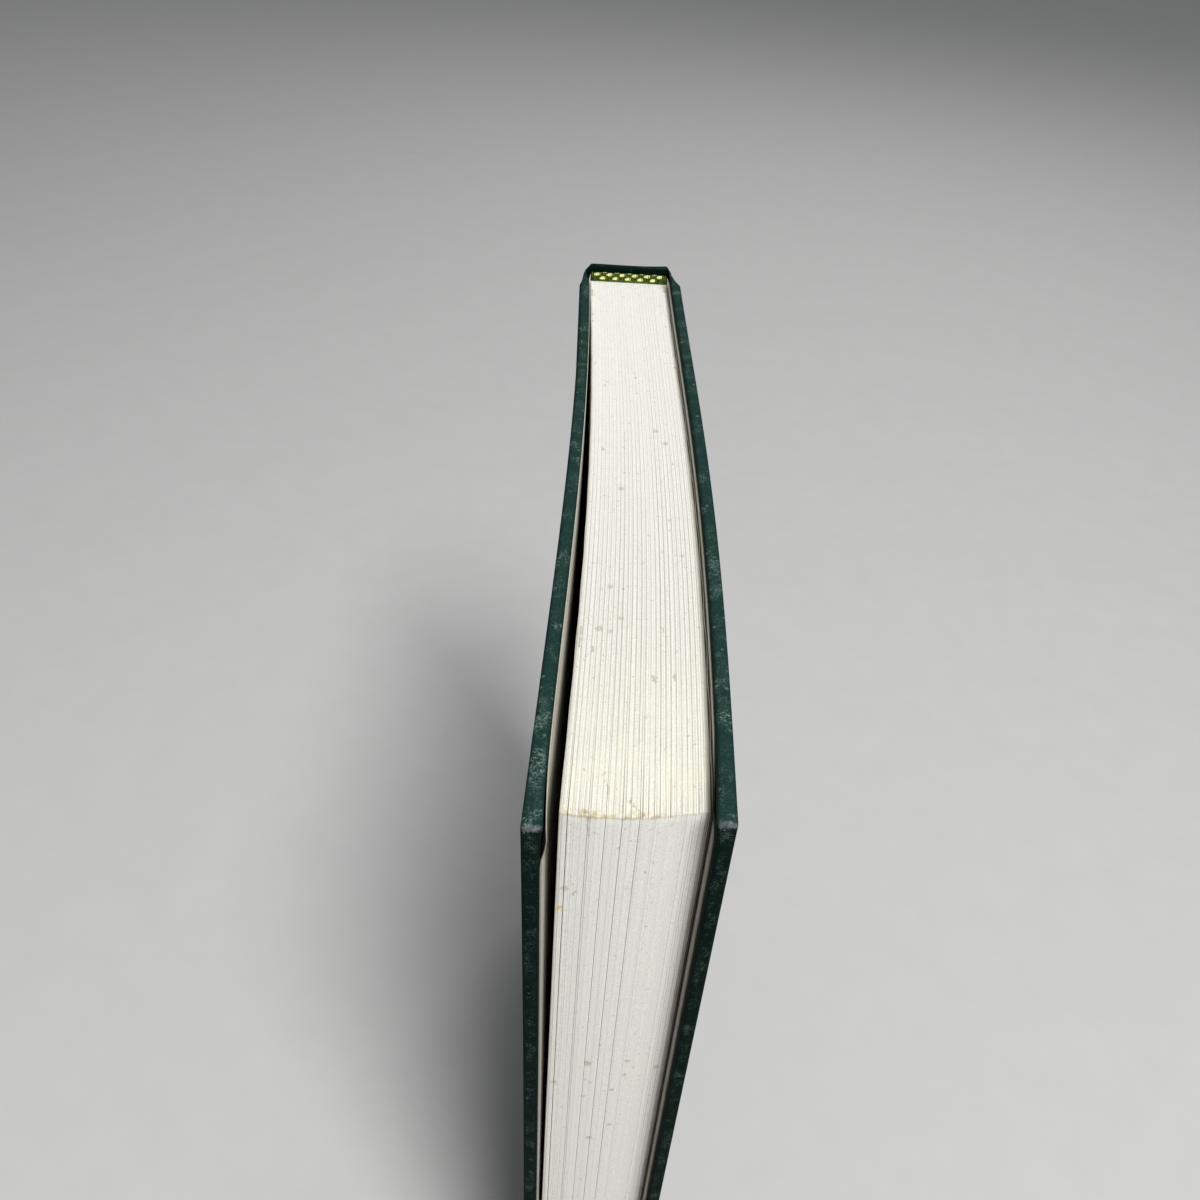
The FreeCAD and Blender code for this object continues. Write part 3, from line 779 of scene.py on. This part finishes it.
def cloth_wear_and_sheen(side, point):
    """Wear of the cloth along its edges and more at the boards' corners, and a dusting with a
    painted sheen on its tops near the head.
    """
    from_end = min(point.z, HEIGHT - point.z)
    from_fore = point.y - COVER_FORE_Y[side]
    edge = max(math.exp(-from_end / END_WEAR), math.exp(-from_fore / FORE_WEAR))
    corner = math.exp(-math.hypot(from_end, from_fore) / CORNER_WEAR)
    dust_and_sheen = smooth(1 - (HEIGHT - point.z) / TOP_DUST_AND_SHEEN)
    return {"edge_wear": edge, "corner_wear": corner, "top_dust": dust_and_sheen}


def flat_lengths(side, stations):
    """How far along the flat cloth each station lies."""
    middle = HEIGHT / 2
    points = [case_section(side, s, middle)[0] for s in stations]
    steps = [math.dist(a, b) for a, b in zip(points, points[1:])]
    return [sum(steps[:i]) for i in range(len(points))]


def sheet_place(lengths):
    """Where a corner of the lattice lies in the cloth when it is spread flat."""
    full = BOARD + 2 * CLOTH

    def flat(key, i, j, k):
        u, v = lengths[i], LEVELS[j]
        in_depth = full * (1 - k / THROUGH)
        if key == "i1":
            return u + in_depth, v
        if key == "j1":
            return u, HEIGHT + in_depth
        if key == "j0":
            return u, -in_depth
        if key == "k0":
            return u, (2 * HEIGHT - v if v > HEIGHT / 2 else -v) + full
        return u, v
    return flat


def cover_cloth(name, side):
    """One half of the case cloth: spine corner, joint, and the board with its turn-ins."""
    def place(i, j, k):
        point = wrapped_point(side, stations[i], LEVELS[j], k)
        return point, cloth_wear_and_sheen(side, point)

    stations = STATIONS[side]
    turned = [s[0] == "board" and s[1] < COVER_FORE_Y[side] + TURN_IN - 1e-6 for s in stations]

    def inside(i, j):
        return turned[i + 1] or j < TAIL_TURN_IN or j >= HEAD_TURN_IN

    counts = (len(stations) - 1, len(LEVELS) - 1, THROUGH)
    faces = {"k1": everywhere, "k0": inside, "j0": everywhere, "j1": everywhere, "i1": everywhere}
    lengths = flat_lengths(side, stations)
    mesh = lattice_mesh(name, counts, place, faces, side == BACK, sheet_place(lengths))
    return cloth_sheet(name, mesh)


def cloth_sheet(name, mesh):
    """Gives the case's outside the thickness of the cloth, inwards."""
    made = piece(name, mesh, GREEN_CLOTH)
    wall = made.modifiers.new("thickness", "SOLIDIFY")
    wall.thickness, wall.offset, wall.use_even_offset = 0.95 * CLOTH, -1.0, False
    return finished(made)


def spine_cloth():
    """The cloth over the back of the spine, turned in over the card at head and tail."""
    half = SPINE_HALF - SPINE_CORNER
    across = spread(-half, half, 25)

    def place(i, j, k):
        radius = edge_radius(CAP)
        n, z = rounded_run(0.0, CAP, radius, [CAP / 2])[k], LEVELS[j]
        flat_z = min(max(z, radius), HEIGHT - radius)
        flat_n = min(max(n, radius), CAP - radius)
        off = over_edge(Vector((z - flat_z, n - flat_n)), radius)
        y = SPINE_Y - CAP + flat_n + off.y
        drop = head_drop(across[i], y)
        point = Vector((MIDDLE_X + across[i], y, (flat_z + off.x) * (1 - drop / HEIGHT)))
        return point, {**cloth_wear_and_sheen(FRONT, point), "corner_wear": 0.0}

    def inside(i, j):
        return j < TAIL_TURN_IN or j >= HEAD_TURN_IN

    counts = (len(across) - 1, len(LEVELS) - 1, THROUGH)
    faces = {"k1": everywhere, "k0": inside, "j0": everywhere, "j1": everywhere}
    lengths = [-(x + half) for x in across]
    mesh = lattice_mesh("spine_cloth_back", counts, place, faces, True, sheet_place(lengths))
    return cloth_sheet("spine_cloth_back", mesh)


def make_case():
    spine = spine_cloth()
    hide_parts("spine_cloth")
    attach(spine, "text_block")
    for name, side in SIDES:
        half = cover_cloth(name + "_case_cloth", side)
        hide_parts(name + "_cover_cloth")
        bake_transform(half)


# Endpapers ---------------------------------------

def pastedown_depth(side, y, z):
    """How far inside the board's face the pastedown's outer side lies."""
    from_turn_in = min(y - COVER_FORE_Y[side], z, HEIGHT - z) - TURN_IN
    from_gauze = max(GAUZE[side].y - y, GAUZE[side].z - min(z, HEIGHT - z))
    sunk = smooth(from_turn_in / TURN_IN_EASE) * smooth(from_gauze / GAUZE_EASE)
    at_fold = smooth((y - (BACK_Y - GUTTER)) / GUTTER_EASE)
    flat = (CLOTH + PAPER) - CLOTH * sunk + (CLOTH * sunk + COVER_CLEARANCE) * at_fold
    near_fore = math.exp((COVER_FORE_Y[side] - y) / LOOSE_CORNER_FADES[0])
    near_head = smooth(2 - (HEIGHT - z) / LOOSE_CORNER_FADES[1])
    return flat + corner_swell(side, y, z) + LOOSE_CORNER[side] * near_fore * near_head


def endpaper_leaf(name, side, ys, zs, outside, soiled, corner=(0.0, 1.0)):
    """A closed thin leaf whose side away from the leaves has the reach outside(y, z).

    The argument before corner says how far its fore edge is darkened by dirt and painted shade, and
    corner is as in PASTEDOWN_CORNER.
    """
    def place(i, j, k):
        y, z = ys[i], zs[j]
        shorter = corner[0] * smooth(1 - (y - ys[-1]) / corner[1])
        z = HEIGHT / 2 + (z - HEIGHT / 2) * (1 - 2 * shorter / HEIGHT)
        reach = outside(y, z) - (0 if k else PAPER)
        from_edge = min(zs[j] - zs[0], zs[-1] - zs[j], y - ys[-1])
        return Vector((MIDDLE_X + side * reach, y, z)), {
            "edge_wear": math.exp(-from_edge / EDGE_FALLOFF),
            "soiled": soiled * math.exp((ys[-1] - y) / SOIL_AND_SHADE_RIM),
        }

    faces = {key: everywhere for key in ("i0", "i1", "j0", "j1", "k0", "k1")}
    mesh = lattice_mesh(name, (len(ys) - 1, len(zs) - 1, 1), place, faces, side == BACK)
    mesh.set_sharp_from_angle(angle=math.radians(50))
    return piece(name, mesh, ENDPAPER)


def pastedown(name, side):
    fore = COVER_FORE_Y[side] + PASTEDOWN_FROM_FORE_EDGE
    joint = BACK_Y - CLOSE_ROWS
    before, after = (COVER_FORE_Y[side] + TURN_IN + d for d in (-STEP_BEFORE, STEP_AFTER))
    ys = (spread(SHOULDER_Y, joint, 22) + spread(joint, after, 36)[1:]
          + spread(after, before, 7)[1:] + spread(before, fore, 8)[1:])
    before, after = TURN_IN - STEP_BEFORE, TURN_IN + STEP_AFTER
    foot = spread(PASTEDOWN_FROM_HEAD, before, 8) + spread(before, after, 7)[1:]
    zs = foot + spread(after, HEIGHT - after, 34)[1:-1] + [HEIGHT - z for z in reversed(foot)]
    ease = (0.0, 0.4 * MM, 0.8 * MM, GAUZE_EASE)
    ys = sorted(ys + [GAUZE[side].y - e for e in ease], reverse=True)
    zs = sorted(zs + [GAUZE[side].z - e for e in ease] + [HEIGHT - GAUZE[side].z + e for e in ease])

    def outside(y, z):
        return board_side(side, y, z) - pastedown_depth(side, y, z) + PAPER

    return endpaper_leaf(name, side, ys, zs, outside, PASTEDOWN_SOIL_AND_SHADE[side],
                         PASTEDOWN_CORNER[side])


def flyleaf(name, side):
    ys = spread(SHOULDER_Y, FORE_Y - LEAVES_OUT[0 if side == FRONT else 2], 96)
    zs = spread(TAIL_Z, HEAD_Z, 30)

    def outside(y, z):
        free = (smooth((SHOULDER_Y - y) / COCKLE_FADES[0])
                * smooth((y - FORE_Y + COCKLE_LEFT) / COCKLE_FADES[1]))
        across, wander, along = COCKLE_WAVES
        wave = 1 + math.sin(y / across + wander * math.sin(z / along))
        return block_side(side, y) + PAPER + FLYLEAF_COCKLE[side] * free * wave

    return endpaper_leaf(name, side, ys, zs, outside, FLYLEAF_SOIL_AND_SHADE[side])


def make_endpapers():
    for name, side in SIDES:
        leaf = flyleaf(name + "_endpaper_leaf", side)
        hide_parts(name + "_flyleaf")
        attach(leaf, "text_block")
        down = pastedown(name + "_endpaper_pasted", side)
        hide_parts(name + "_pastedown")
        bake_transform(down)


# Leaves ------------------------------------------

LEAVES = SECTIONS * LEAVES_PER_SECTION
LEAF = 0.0835 * MM
SEWN_Y = BACK_Y - KERF_DEPTH
SECTION_GAP, LEAF_GAP = 0.012 * MM, 0.004 * MM     # most that is left before each
HEAD_SLIP = 0.03 * MM          # most that a leaf stands above or below the others at the head
OUTERMOST_SUNK = 0.07 * MM     # how much lower a section's outermost leaves end at the head
BELOW_HEAD = 0.03 * MM         # how far the leaves and folds end below the head
SHORT_LAST_ROW = 1.16          # the last row of a leaf's cells is short, for the worn corner
WORN_BACK, WORN_DOWN = 0.25, 0.75     # how the worn corner is shared between fore edge and head
LATE_OPENING = 8.0             # the larger, the nearer the fore edge the gaps open
WANDER = (40.0, 14.0)          # how fast the slipping changes, across the book and up a leaf

# Gaps that have opened at the fore edge: the number of the leaf after the gap, and its width
OPENINGS = {
    3: 0.03, 10: 0.10, 19: 0.02, 29: 0.02, 38: 0.05, 41: 0.03, 62: 0.06, 74: 0.02, 85: 0.06,
    109: 0.06, 131: 0.015, 176: 0.03, 188: 0.03, 196: 0.04, 203: 0.05, 206: 0.05,
}


def leaf_points():
    """One point for each leaf, with the width of the gap before it."""
    mesh = bpy.data.meshes.new("leaf_points")
    mesh.from_pydata([(0, 0, 0)] * LEAVES, [], [])
    gap = mesh.attributes.new("gap", "FLOAT", "POINT")
    gap.data.foreach_set("value", [OPENINGS.get(i, 0.0) * MM for i in range(LEAVES)])
    return mesh


def geometry_tree(name, numbers, materials=()):
    """A Geometry Nodes tree with named number inputs, and one input for each material."""
    tree = bpy.data.node_groups.new(name, "GeometryNodeTree")
    face = tree.interface
    face.new_socket(name="Geometry", in_out="INPUT", socket_type="NodeSocketGeometry")
    for key, value in numbers.items():
        kind = "NodeSocketInt" if isinstance(value, int) else "NodeSocketFloat"
        face.new_socket(name=key, in_out="INPUT", socket_type=kind)
    for key in materials:
        face.new_socket(name=key, in_out="INPUT", socket_type="NodeSocketMaterial")
    face.new_socket(name="Geometry", in_out="OUTPUT", socket_type="NodeSocketGeometry")
    make = Maker(tree)
    return tree, make, make.node("NodeGroupInput").outputs, make.node("NodeGroupOutput").inputs[0]


def grown(name, mesh, tree, values):
    """A piece made from mesh by a Geometry Nodes tree, as a plain mesh."""
    made = piece(name, mesh)
    nodes = made.modifiers.new(tree.name, "NODES")
    nodes.node_group = tree
    for socket in tree.interface.items_tree:
        if socket.in_out == "INPUT" and socket.name in values:
            nodes[socket.identifier] = values[socket.name]
    return finished(made)


def kept(make, geometry, name, value):
    """The same geometry with a value stored on each point."""
    return make.node("GeometryNodeStoreNamedAttribute", {
        "Geometry": geometry, "Name": name, "Value": value,
    }, data_type="FLOAT", domain="POINT").outputs[0]


def named(make, name):
    return make.node("GeometryNodeInputNamedAttribute", {"Name": name}).outputs[0]


def faced(make, geometry, finish):
    return make.node("GeometryNodeSetMaterial", {
        "Geometry": geometry, "Material": finish,
    }).outputs[0]


def repeated(make, points, shape, **settings):
    """A copy of the shape on every point."""
    return make.node("GeometryNodeInstanceOnPoints", {
        "Points": points, "Instance": shape, **settings,
    }).outputs[0]


def realized(make, geometry):
    return make.node("GeometryNodeRealizeInstances", {"Geometry": geometry}).outputs[0]


LEAF_SIZES = {
    "Leaves": LEAVES, "Section": LEAVES_PER_SECTION, "Seed": 7,
    "Leaf Thickness": LEAF, "Half Thickness": HALF_BLOCK, "Middle": MIDDLE_X,
    "Fore Edge": FORE_Y, "Sewn Edge": SEWN_Y, "Tail": TAIL_Z, "Head": HEAD_Z,
    "Swell Front": SWELL[FRONT], "Swell Back": SWELL[BACK],
    "Bow Front": BOW_FRONT, "Bow Back": BOW_BACK, "Bow Lean": BOW_BACK_LEAN,
    "Out Front": LEAVES_OUT[0], "Out Middle": LEAVES_OUT[1], "Out Back": LEAVES_OUT[2],
    "Slip": 0.04 * MM, "Fine Slip": 0.025 * MM, "Corner Wear": 0.4 * MM,
}


def leaf_tree():
    """Sewn leaves, each a thin closed sheet bent to its place between the block's two sides."""
    tree, make, size, out = geometry_tree("sewn_leaves", LEAF_SIZES, ("Paper",))
    index = make.node("GeometryNodeInputIndex").outputs[0]

    def random(low, high, salt, number):
        made = make.node("FunctionNodeRandomValue", data_type="FLOAT")
        for key, value in ((2, low), (3, high), ("ID", number),
                           ("Seed", make.plus(size["Seed"], salt))):
            make.feed(made.inputs[key], value)
        return made.outputs[1]

    # Where each leaf stands in the stack
    section = make.math("FLOOR", make.math("DIVIDE", index, size["Section"]))
    starts = make.math("COMPARE", make.math("MODULO", index, size["Section"]), 0.0, 0.5)
    small = make.times(starts, random(0.0, SECTION_GAP, 1, section))
    gap = make.plus(named(make, "gap"), make.plus(small, random(0.0, LEAF_GAP, 2, index)))
    sums = make.node("GeometryNodeAccumulateField", {
        "Value": make.plus(gap, size["Leaf Thickness"]),
    }, data_type="FLOAT").outputs[0]
    last = make.node("GeometryNodeFieldAtIndex", {
        "Index": make.minus(size["Leaves"], 1.0), "Value": sums,
    }, data_type="FLOAT", domain="POINT").outputs[0]
    half_leaf = make.times(size["Leaf Thickness"], 0.5)
    at_fore = make.math("DIVIDE", make.minus(sums, half_leaf), last)
    even = make.math("DIVIDE", make.plus(index, 0.5), size["Leaves"])
    slip = make.plus(make.times(random(-1.0, 1.0, 3, section), size["Slip"]),
                     make.times(random(-1.0, 1.0, 4, index), size["Fine Slip"]))

    # What sets a section's outermost and inmost leaves apart for the painted shade between
    # sections, and the leaves next to the covers
    beside = make.math("MODULO", make.plus(index, 1.0), size["Section"])
    outermost = make.math("LESS_THAN", beside, 1.5)
    inmost = make.math("COMPARE", beside, LEAVES_PER_SECTION / 2 + 1, 0.1)
    points = make.node("NodeGroupInput").outputs[0]
    for name, value in {
        "at_fore": at_fore,
        "even": even,
        "slip": slip,
        "section_valley_shade": make.plus(make.times(outermost, random(0.6, 1.0, 8, section)),
                            make.times(inmost, random(0.1, 0.6, 9, section))),
        # The first leaves are toned by dirt; the last ones, beside the back board, carry painted
        # shade
        "soiled": make.plus(make.ramp(even, 0.966, 0.985), make.ramp(even, 0.035, 0.0, 0.0, 0.45)),
        "tone": random(0.0, 1.0, 5, index),
        "head_slip": make.plus(random(-HEAD_SLIP, HEAD_SLIP, 6, index),
                               make.times(outermost, -OUTERMOST_SUNK)),
        "worn": make.plus(random(0.0, size["Corner Wear"], 10, section),
                          make.times(random(0.0, size["Corner Wear"], 11, index), 0.6)),
    }.items():
        points = kept(make, points, name, value)
    sheet = make.node("GeometryNodeMeshCube", {
        "Size": (1.0, 1.0, 1.0), "Vertices X": 2, "Vertices Y": 15, "Vertices Z": 8,
    }).outputs["Mesh"]
    whole = realized(make, repeated(make, points, sheet))

    # Across the book: even at the sewn edge, and spread by the gaps towards the fore edge
    parts = make.parts(make.node("GeometryNodeInputPosition").outputs[0])
    along = make.minus(0.5, parts["Y"])       # 0 at the sewn edge, 1 at the fore edge
    up = make.plus(parts["Z"], 0.5)
    z = make.node("ShaderNodeMapRange", {
        "Value": make.times(up, SHORT_LAST_ROW), "To Min": size["Tail"], "To Max": size["Head"],
    }).outputs[0]
    bowed = make.math("SINE", make.times(along, math.pi))
    leaned = make.math("SINE", make.times(make.math("POWER", along, size["Bow Lean"]), math.pi))
    front = make.minus(make.times(bowed, size["Bow Front"]),
                       make.times_plus(along, size["Swell Front"], size["Half Thickness"]))
    back = make.plus(make.times(leaned, size["Bow Back"]),
                     make.times_plus(along, size["Swell Back"], size["Half Thickness"]))
    even, at_fore = named(make, "even"), named(make, "at_fore")
    opened = make.math("POWER", along, LATE_OPENING)
    share = make.plus(even, make.times(opened, make.minus(at_fore, even)))
    x = make.plus(front, make.times(share, make.minus(back, front)))
    inwards = make.times(make.minus(parts["X"], 0.5), size["Leaf Thickness"])
    x = make.plus(make.plus(x, inwards), size["Middle"])

    # Along the leaf: the fore edges follow an arc from cover to cover, and every leaf slips
    wander = make.noise(make.vector(make.times(even, WANDER[0]), make.times(z, WANDER[1])),
                        1.0, 1.0, 0.5)
    slipped = make.plus(named(make, "slip"), make.times(
        make.minus(wander, 0.5), make.times(size["Slip"], 1.5)))
    first, middle, last_out = size["Out Front"], size["Out Middle"], size["Out Back"]
    slope = make.minus(make.times(middle, 4.0), make.times_plus(first, 3.0, last_out))
    bend = make.times(make.minus(make.plus(first, last_out), make.times(middle, 2.0)), 2.0)
    out_by = make.times_plus(even, make.times_plus(even, bend, slope), first)
    fore = make.plus(make.minus(size["Fore Edge"], out_by), slipped)
    at_head = make.math("COMPARE", up, 1.0, 0.01)
    corner = make.times(make.times(at_head, make.math("COMPARE", along, 1.0, 0.01)),
                        named(make, "worn"))
    y = make.node("ShaderNodeMapRange", {
        "Value": along, "To Min": size["Sewn Edge"],
        "To Max": make.times_plus(corner, WORN_BACK, fore),
    }).outputs[0]
    ends = make.times_plus(corner, -WORN_DOWN, make.times(at_head, named(make, "head_slip")))
    bent = make.node("GeometryNodeSetPosition", {
        "Geometry": whole,
        "Position": make.vector(x, y, make.minus(make.plus(z, ends), BELOW_HEAD)),
    }).outputs[0]
    flat = make.node("GeometryNodeSetShadeSmooth", {"Geometry": bent, "Shade Smooth": False})
    make.feed(out, faced(make, flat.outputs[0], size["Paper"]))
    return tree


FOLD_SIZES = {
    "Width": 2 * HALF_BLOCK / SECTIONS, "Sewn Edge": SEWN_Y, "Shoulder": SHOULDER_Y,
    "Rounding": FOLD_ROUNDING, "Middle": MIDDLE_X,
}


def fold_points():
    """One point for each stretch of a section's fold between two kerfs, with its height."""
    kerfs = spread(TAIL_Z + KERF_FROM_END, HEAD_Z - KERF_FROM_END, KERF_COUNT)
    starts = [TAIL_Z] + [z + KERF_WIDTH / 2 for z in kerfs]
    ends = [z - KERF_WIDTH / 2 for z in kerfs] + [HEAD_Z - BELOW_HEAD]
    points, heights = [], []
    for section in range(SECTIONS):
        x = 2 * HALF_BLOCK * ((section + 0.5) / SECTIONS - 0.5)
        for low, high in zip(starts, ends):
            points.append((x, 0, (low + high) / 2))
            heights.append(high - low)
    mesh = bpy.data.meshes.new("fold_points")
    mesh.from_pydata(points, [], [])
    mesh.attributes.new("height", "FLOAT", "POINT").data.foreach_set("value", heights)
    return mesh


def fold_tree():
    """The rounded backs of the folded sections, from the bottom of the kerfs outwards."""
    tree, make, size, out = geometry_tree("section_folds", FOLD_SIZES, ("Paper",))
    block = make.node("GeometryNodeMeshCube", {
        "Size": (1.0, 1.0, 1.0), "Vertices X": 7, "Vertices Y": 2, "Vertices Z": 2,
    }).outputs["Mesh"]
    place = make.parts(make.node("GeometryNodeInputPosition").outputs[0])
    bulge = make.minus(1.0, make.math("POWER", make.times(place["X"], 2.0), 2.0))
    bulge = make.times(bulge, make.math("GREATER_THAN", place["Y"], 0.0))
    block = kept(make, block, "bulge", make.times(bulge, size["Rounding"]))
    depth = make.minus(size["Shoulder"], size["Sewn Edge"])
    whole = realized(make, repeated(
        make, make.node("NodeGroupInput").outputs[0], block,
        Scale=make.vector(size["Width"], depth, named(make, "height"))))
    middle = make.times(make.plus(size["Shoulder"], size["Sewn Edge"]), 0.5)
    bent = make.node("GeometryNodeSetPosition", {
        "Geometry": whole,
        "Offset": make.vector(size["Middle"], make.plus(middle, named(make, "bulge"))),
    }).outputs[0]
    make.feed(out, faced(make, bent, size["Paper"]))
    return tree


def make_leaves():
    folds = grown("section_folds", fold_points(), fold_tree(), {**FOLD_SIZES, "Paper": PAGE_PAPER})
    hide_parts("page_block")
    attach(folds, "text_block")
    leaves = grown("sewn_leaves", leaf_points(), leaf_tree(), {**LEAF_SIZES, "Paper": PAGE_PAPER})
    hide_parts("page_block")
    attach(leaves, "text_block")


# Headbands ---------------------------------------

BEAD_RADIUS = 1.15 * MM
BEAD_Y = BACK_Y + 0.05 * MM + BEAD_RADIUS
BEAD_RISE = 0.45 * MM
BAND_SIZES = {
    "Width": 2 * HALF_BLOCK, "Radius": BEAD_RADIUS, "Windings": 44, "Stitch": 2.9 * MM,
    "Float Length": 2.05 * MM, "Float Width": 1.0 * MM, "Float Height": 0.5 * MM,
    "Tape Thickness": 0.25 * MM, "Tape Height": 12.3 * MM, "Tape From Centre": 1.2 * MM,
}
# Each row of stitches: its angle from the top, in degrees towards the leaves, and how much of a
# stitch it is moved on by
FLOAT_ROWS = ((-30.0, 0.5), (24.0, 0.0), (80.0, 0.5), (116.0, 0.0))


def band_tree():
    """Green yarn wound round a core, with rows of yellow stitches that lie over it."""
    tree, make, size, out = geometry_tree("stitched_band", BAND_SIZES, ("Green", "Yellow"))
    joined = make.node("GeometryNodeJoinGeometry")

    def row(count, start, end):
        return make.node("GeometryNodeMeshLine", {
            "Count": count, "Start Location": start, "Offset": end,
        }, mode="END_POINTS").outputs[0]

    def circle(corners, radius):
        return make.node("GeometryNodeCurvePrimitiveCircle", {
            "Resolution": corners, "Radius": radius,
        }).outputs["Curve"]

    def moved(geometry, **settings):
        return make.node("GeometryNodeTransform", {"Geometry": geometry, **settings}).outputs[0]

    def add(geometry, key):
        make.tree.links.new(faced(make, geometry, size[key]), joined.inputs[0])

    # The rows of stitches, every other one moved on by half a stitch
    float_ball = make.node("GeometryNodeMeshUVSphere", {
        "Segments": 12, "Rings": 8, "Radius": 0.5,
    }).outputs["Mesh"]
    count = make.math("FLOOR", make.math("DIVIDE", size["Width"], size["Stitch"]))
    out_to = make.minus(size["Radius"], make.times(size["Float Height"], 0.5))
    for degrees, phase in FLOAT_ROWS:
        first = make.times(size["Stitch"], make.math("DIVIDE", count, -2.0))
        first = make.plus(first, make.times(size["Stitch"], 0.5 + phase))
        number = make.minus(count, 2 * phase)
        last = make.plus(first, make.times(size["Stitch"], make.minus(number, 1.0)))
        angle = math.radians(degrees)
        y, z = make.times(out_to, -math.sin(angle)), make.times(out_to, math.cos(angle))
        add(repeated(
            make, row(number, make.vector(first, y, z), make.vector(last, y, z)), float_ball,
            Rotation=(angle, 0.0, math.radians(9.0)),
            Scale=make.vector(size["Float Length"], size["Float Width"], size["Float Height"]),
        ), "Yellow")

    # The core, the yarn that is wound round it, and the tape that hangs from it
    across = (0.0, math.pi / 2, 0.0)
    core_radius = make.minus(size["Radius"], make.times(size["Radius"], 0.17))
    core = make.node("GeometryNodeMeshCylinder", {
        "Vertices": 20, "Radius": core_radius, "Depth": size["Width"],
    }).outputs["Mesh"]
    yarn_width = make.math("DIVIDE", size["Width"], make.times(size["Windings"], 1.9))
    ring = make.node("GeometryNodeCurveToMesh", {
        "Curve": circle(24, core_radius), "Profile Curve": circle(6, yarn_width),
    }).outputs[0]
    start = make.minus(yarn_width, make.math("DIVIDE", size["Width"], 2.0))
    windings = repeated(make, row(size["Windings"], make.vector(start),
                                  make.vector(make.times(start, -1.0))),
                        moved(ring, Rotation=across))
    tape = make.node("GeometryNodeMeshCube", {
        "Size": make.vector(size["Width"], size["Tape Thickness"], size["Tape Height"]),
    }).outputs["Mesh"]
    tape_y = make.minus(make.times(size["Tape Thickness"], 0.5), size["Tape From Centre"])
    tape_z = make.times(size["Tape Height"], -0.5)
    add(moved(core, Rotation=across), "Green")
    add(windings, "Green")
    add(moved(tape, Translation=make.vector(0.0, tape_y, tape_z)), "Green")
    soft = make.node("GeometryNodeSetShadeSmooth", {
        "Geometry": realized(make, joined.outputs[0]),
    })
    make.feed(out, soft.outputs[0])
    return tree


def make_headbands():
    tree = band_tree()
    for name, node, z, up in (("headband_stitches", "headband", HEAD_Z, 1),
                              ("tailband_stitches", "tailband", TAIL_Z, -1)):
        empty = bpy.data.meshes.new(name)
        band = grown(name, empty, tree, {**BAND_SIZES, "Green": GREEN_YARN, "Yellow": YELLOW_YARN})
        turn = Matrix.Identity(4) if up == 1 else Matrix.Rotation(math.pi, 4, "Y")
        band.data.transform(Matrix.Translation((MIDDLE_X, BEAD_Y, z + up * BEAD_RISE)) @ turn)
        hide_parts(node)
        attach(band, "text_block")


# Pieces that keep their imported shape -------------

def finish_packed_pieces():
    finishes = {
        "sewing_thread": THREAD, "spine_mull": MULL, "spine_lining": LINING_PAPER,
        "spine_inlay": INLAY_CARD, "front_board": GREY_BOARD, "back_board": GREY_BOARD,
        "front_mull_flange": MULL, "back_mull_flange": MULL,
    }
    for name, finish in finishes.items():
        mesh = frame["nodes"][name].data
        mesh.materials.clear()
        mesh.materials.append(finish)


# Studio ------------------------------------------

CAMERA_PLACE = (-8.43 * MM, -161.95 * MM, 340.3 * MM)
CAMERA_TURN = (39.66, -1.67, 3.91)       # degrees down, to the left and anticlockwise
SENSOR_WIDTH, LENS = 36.0, 32.4


def make_floor():
    half = 3.0
    mesh = bpy.data.meshes.new("studio_floor")
    mesh.from_pydata([(-half, -half, 0), (half, -half, 0), (half, half, 0), (-half, half, 0)],
                     [], [(0, 1, 2, 3)])
    floor = piece("studio_floor", mesh, material("studio_floor", studio_floor))
    floor.location.z = -0.02 * MM     # just under the book's tail


def make_light(name, place, target, size, power):
    data = bpy.data.lights.new(name, "AREA")
    data.shape, data.size, data.energy = "DISK", size, power
    lamp = bpy.data.objects.new(name, data)
    lamp.location = place
    lamp.rotation_euler = (Vector(target) - Vector(place)).to_track_quat("-Z", "Y").to_euler()
    bpy.context.scene.collection.objects.link(lamp)


def make_lights():
    """A soft light high on the right of the fore edge, and a weak one behind."""
    target = (0, 0, HEIGHT * 0.8)
    make_light("key_soft_light", (0.25, -0.65, 1.22), target, size=0.42, power=14.4)
    make_light("rear_soft_light", (0.3, 0.9, 1.0), target, size=0.7, power=3.0)
    world = bpy.data.worlds.new("studio")
    world.use_nodes = True
    background = world.node_tree.nodes["Background"]
    background.inputs["Color"].default_value = (0.95, 0.97, 1.0, 1.0)
    background.inputs["Strength"].default_value = 0.17
    bpy.context.scene.world = world
    bpy.context.scene.view_settings.view_transform = "Standard"


def make_camera():
    """Close above the fore edge, looking down on the head."""
    pitch, yaw, roll = (math.radians(d) for d in CAMERA_TURN)
    forward = Vector((-math.sin(yaw) * math.cos(pitch), math.cos(yaw) * math.cos(pitch),
                      -math.sin(pitch)))
    level = Vector((math.cos(yaw), math.sin(yaw), 0))
    upright = level.cross(forward)
    right = math.cos(roll) * level + math.sin(roll) * upright
    up = math.cos(roll) * upright - math.sin(roll) * level
    data = bpy.data.cameras.new("camera")
    data.sensor_width, data.lens = SENSOR_WIDTH, LENS
    data.clip_start, data.clip_end = 0.01, 20.0
    camera = bpy.data.objects.new("camera", data)
    turn = Matrix((right, up, -forward)).transposed().to_4x4()
    camera.matrix_world = Matrix.Translation(CAMERA_PLACE) @ turn
    bpy.context.scene.collection.objects.link(camera)
    bpy.context.scene.camera = camera


make_camera()
make_floor()
make_lights()
make_case()
make_endpapers()
make_leaves()
make_headbands()
finish_packed_pieces()
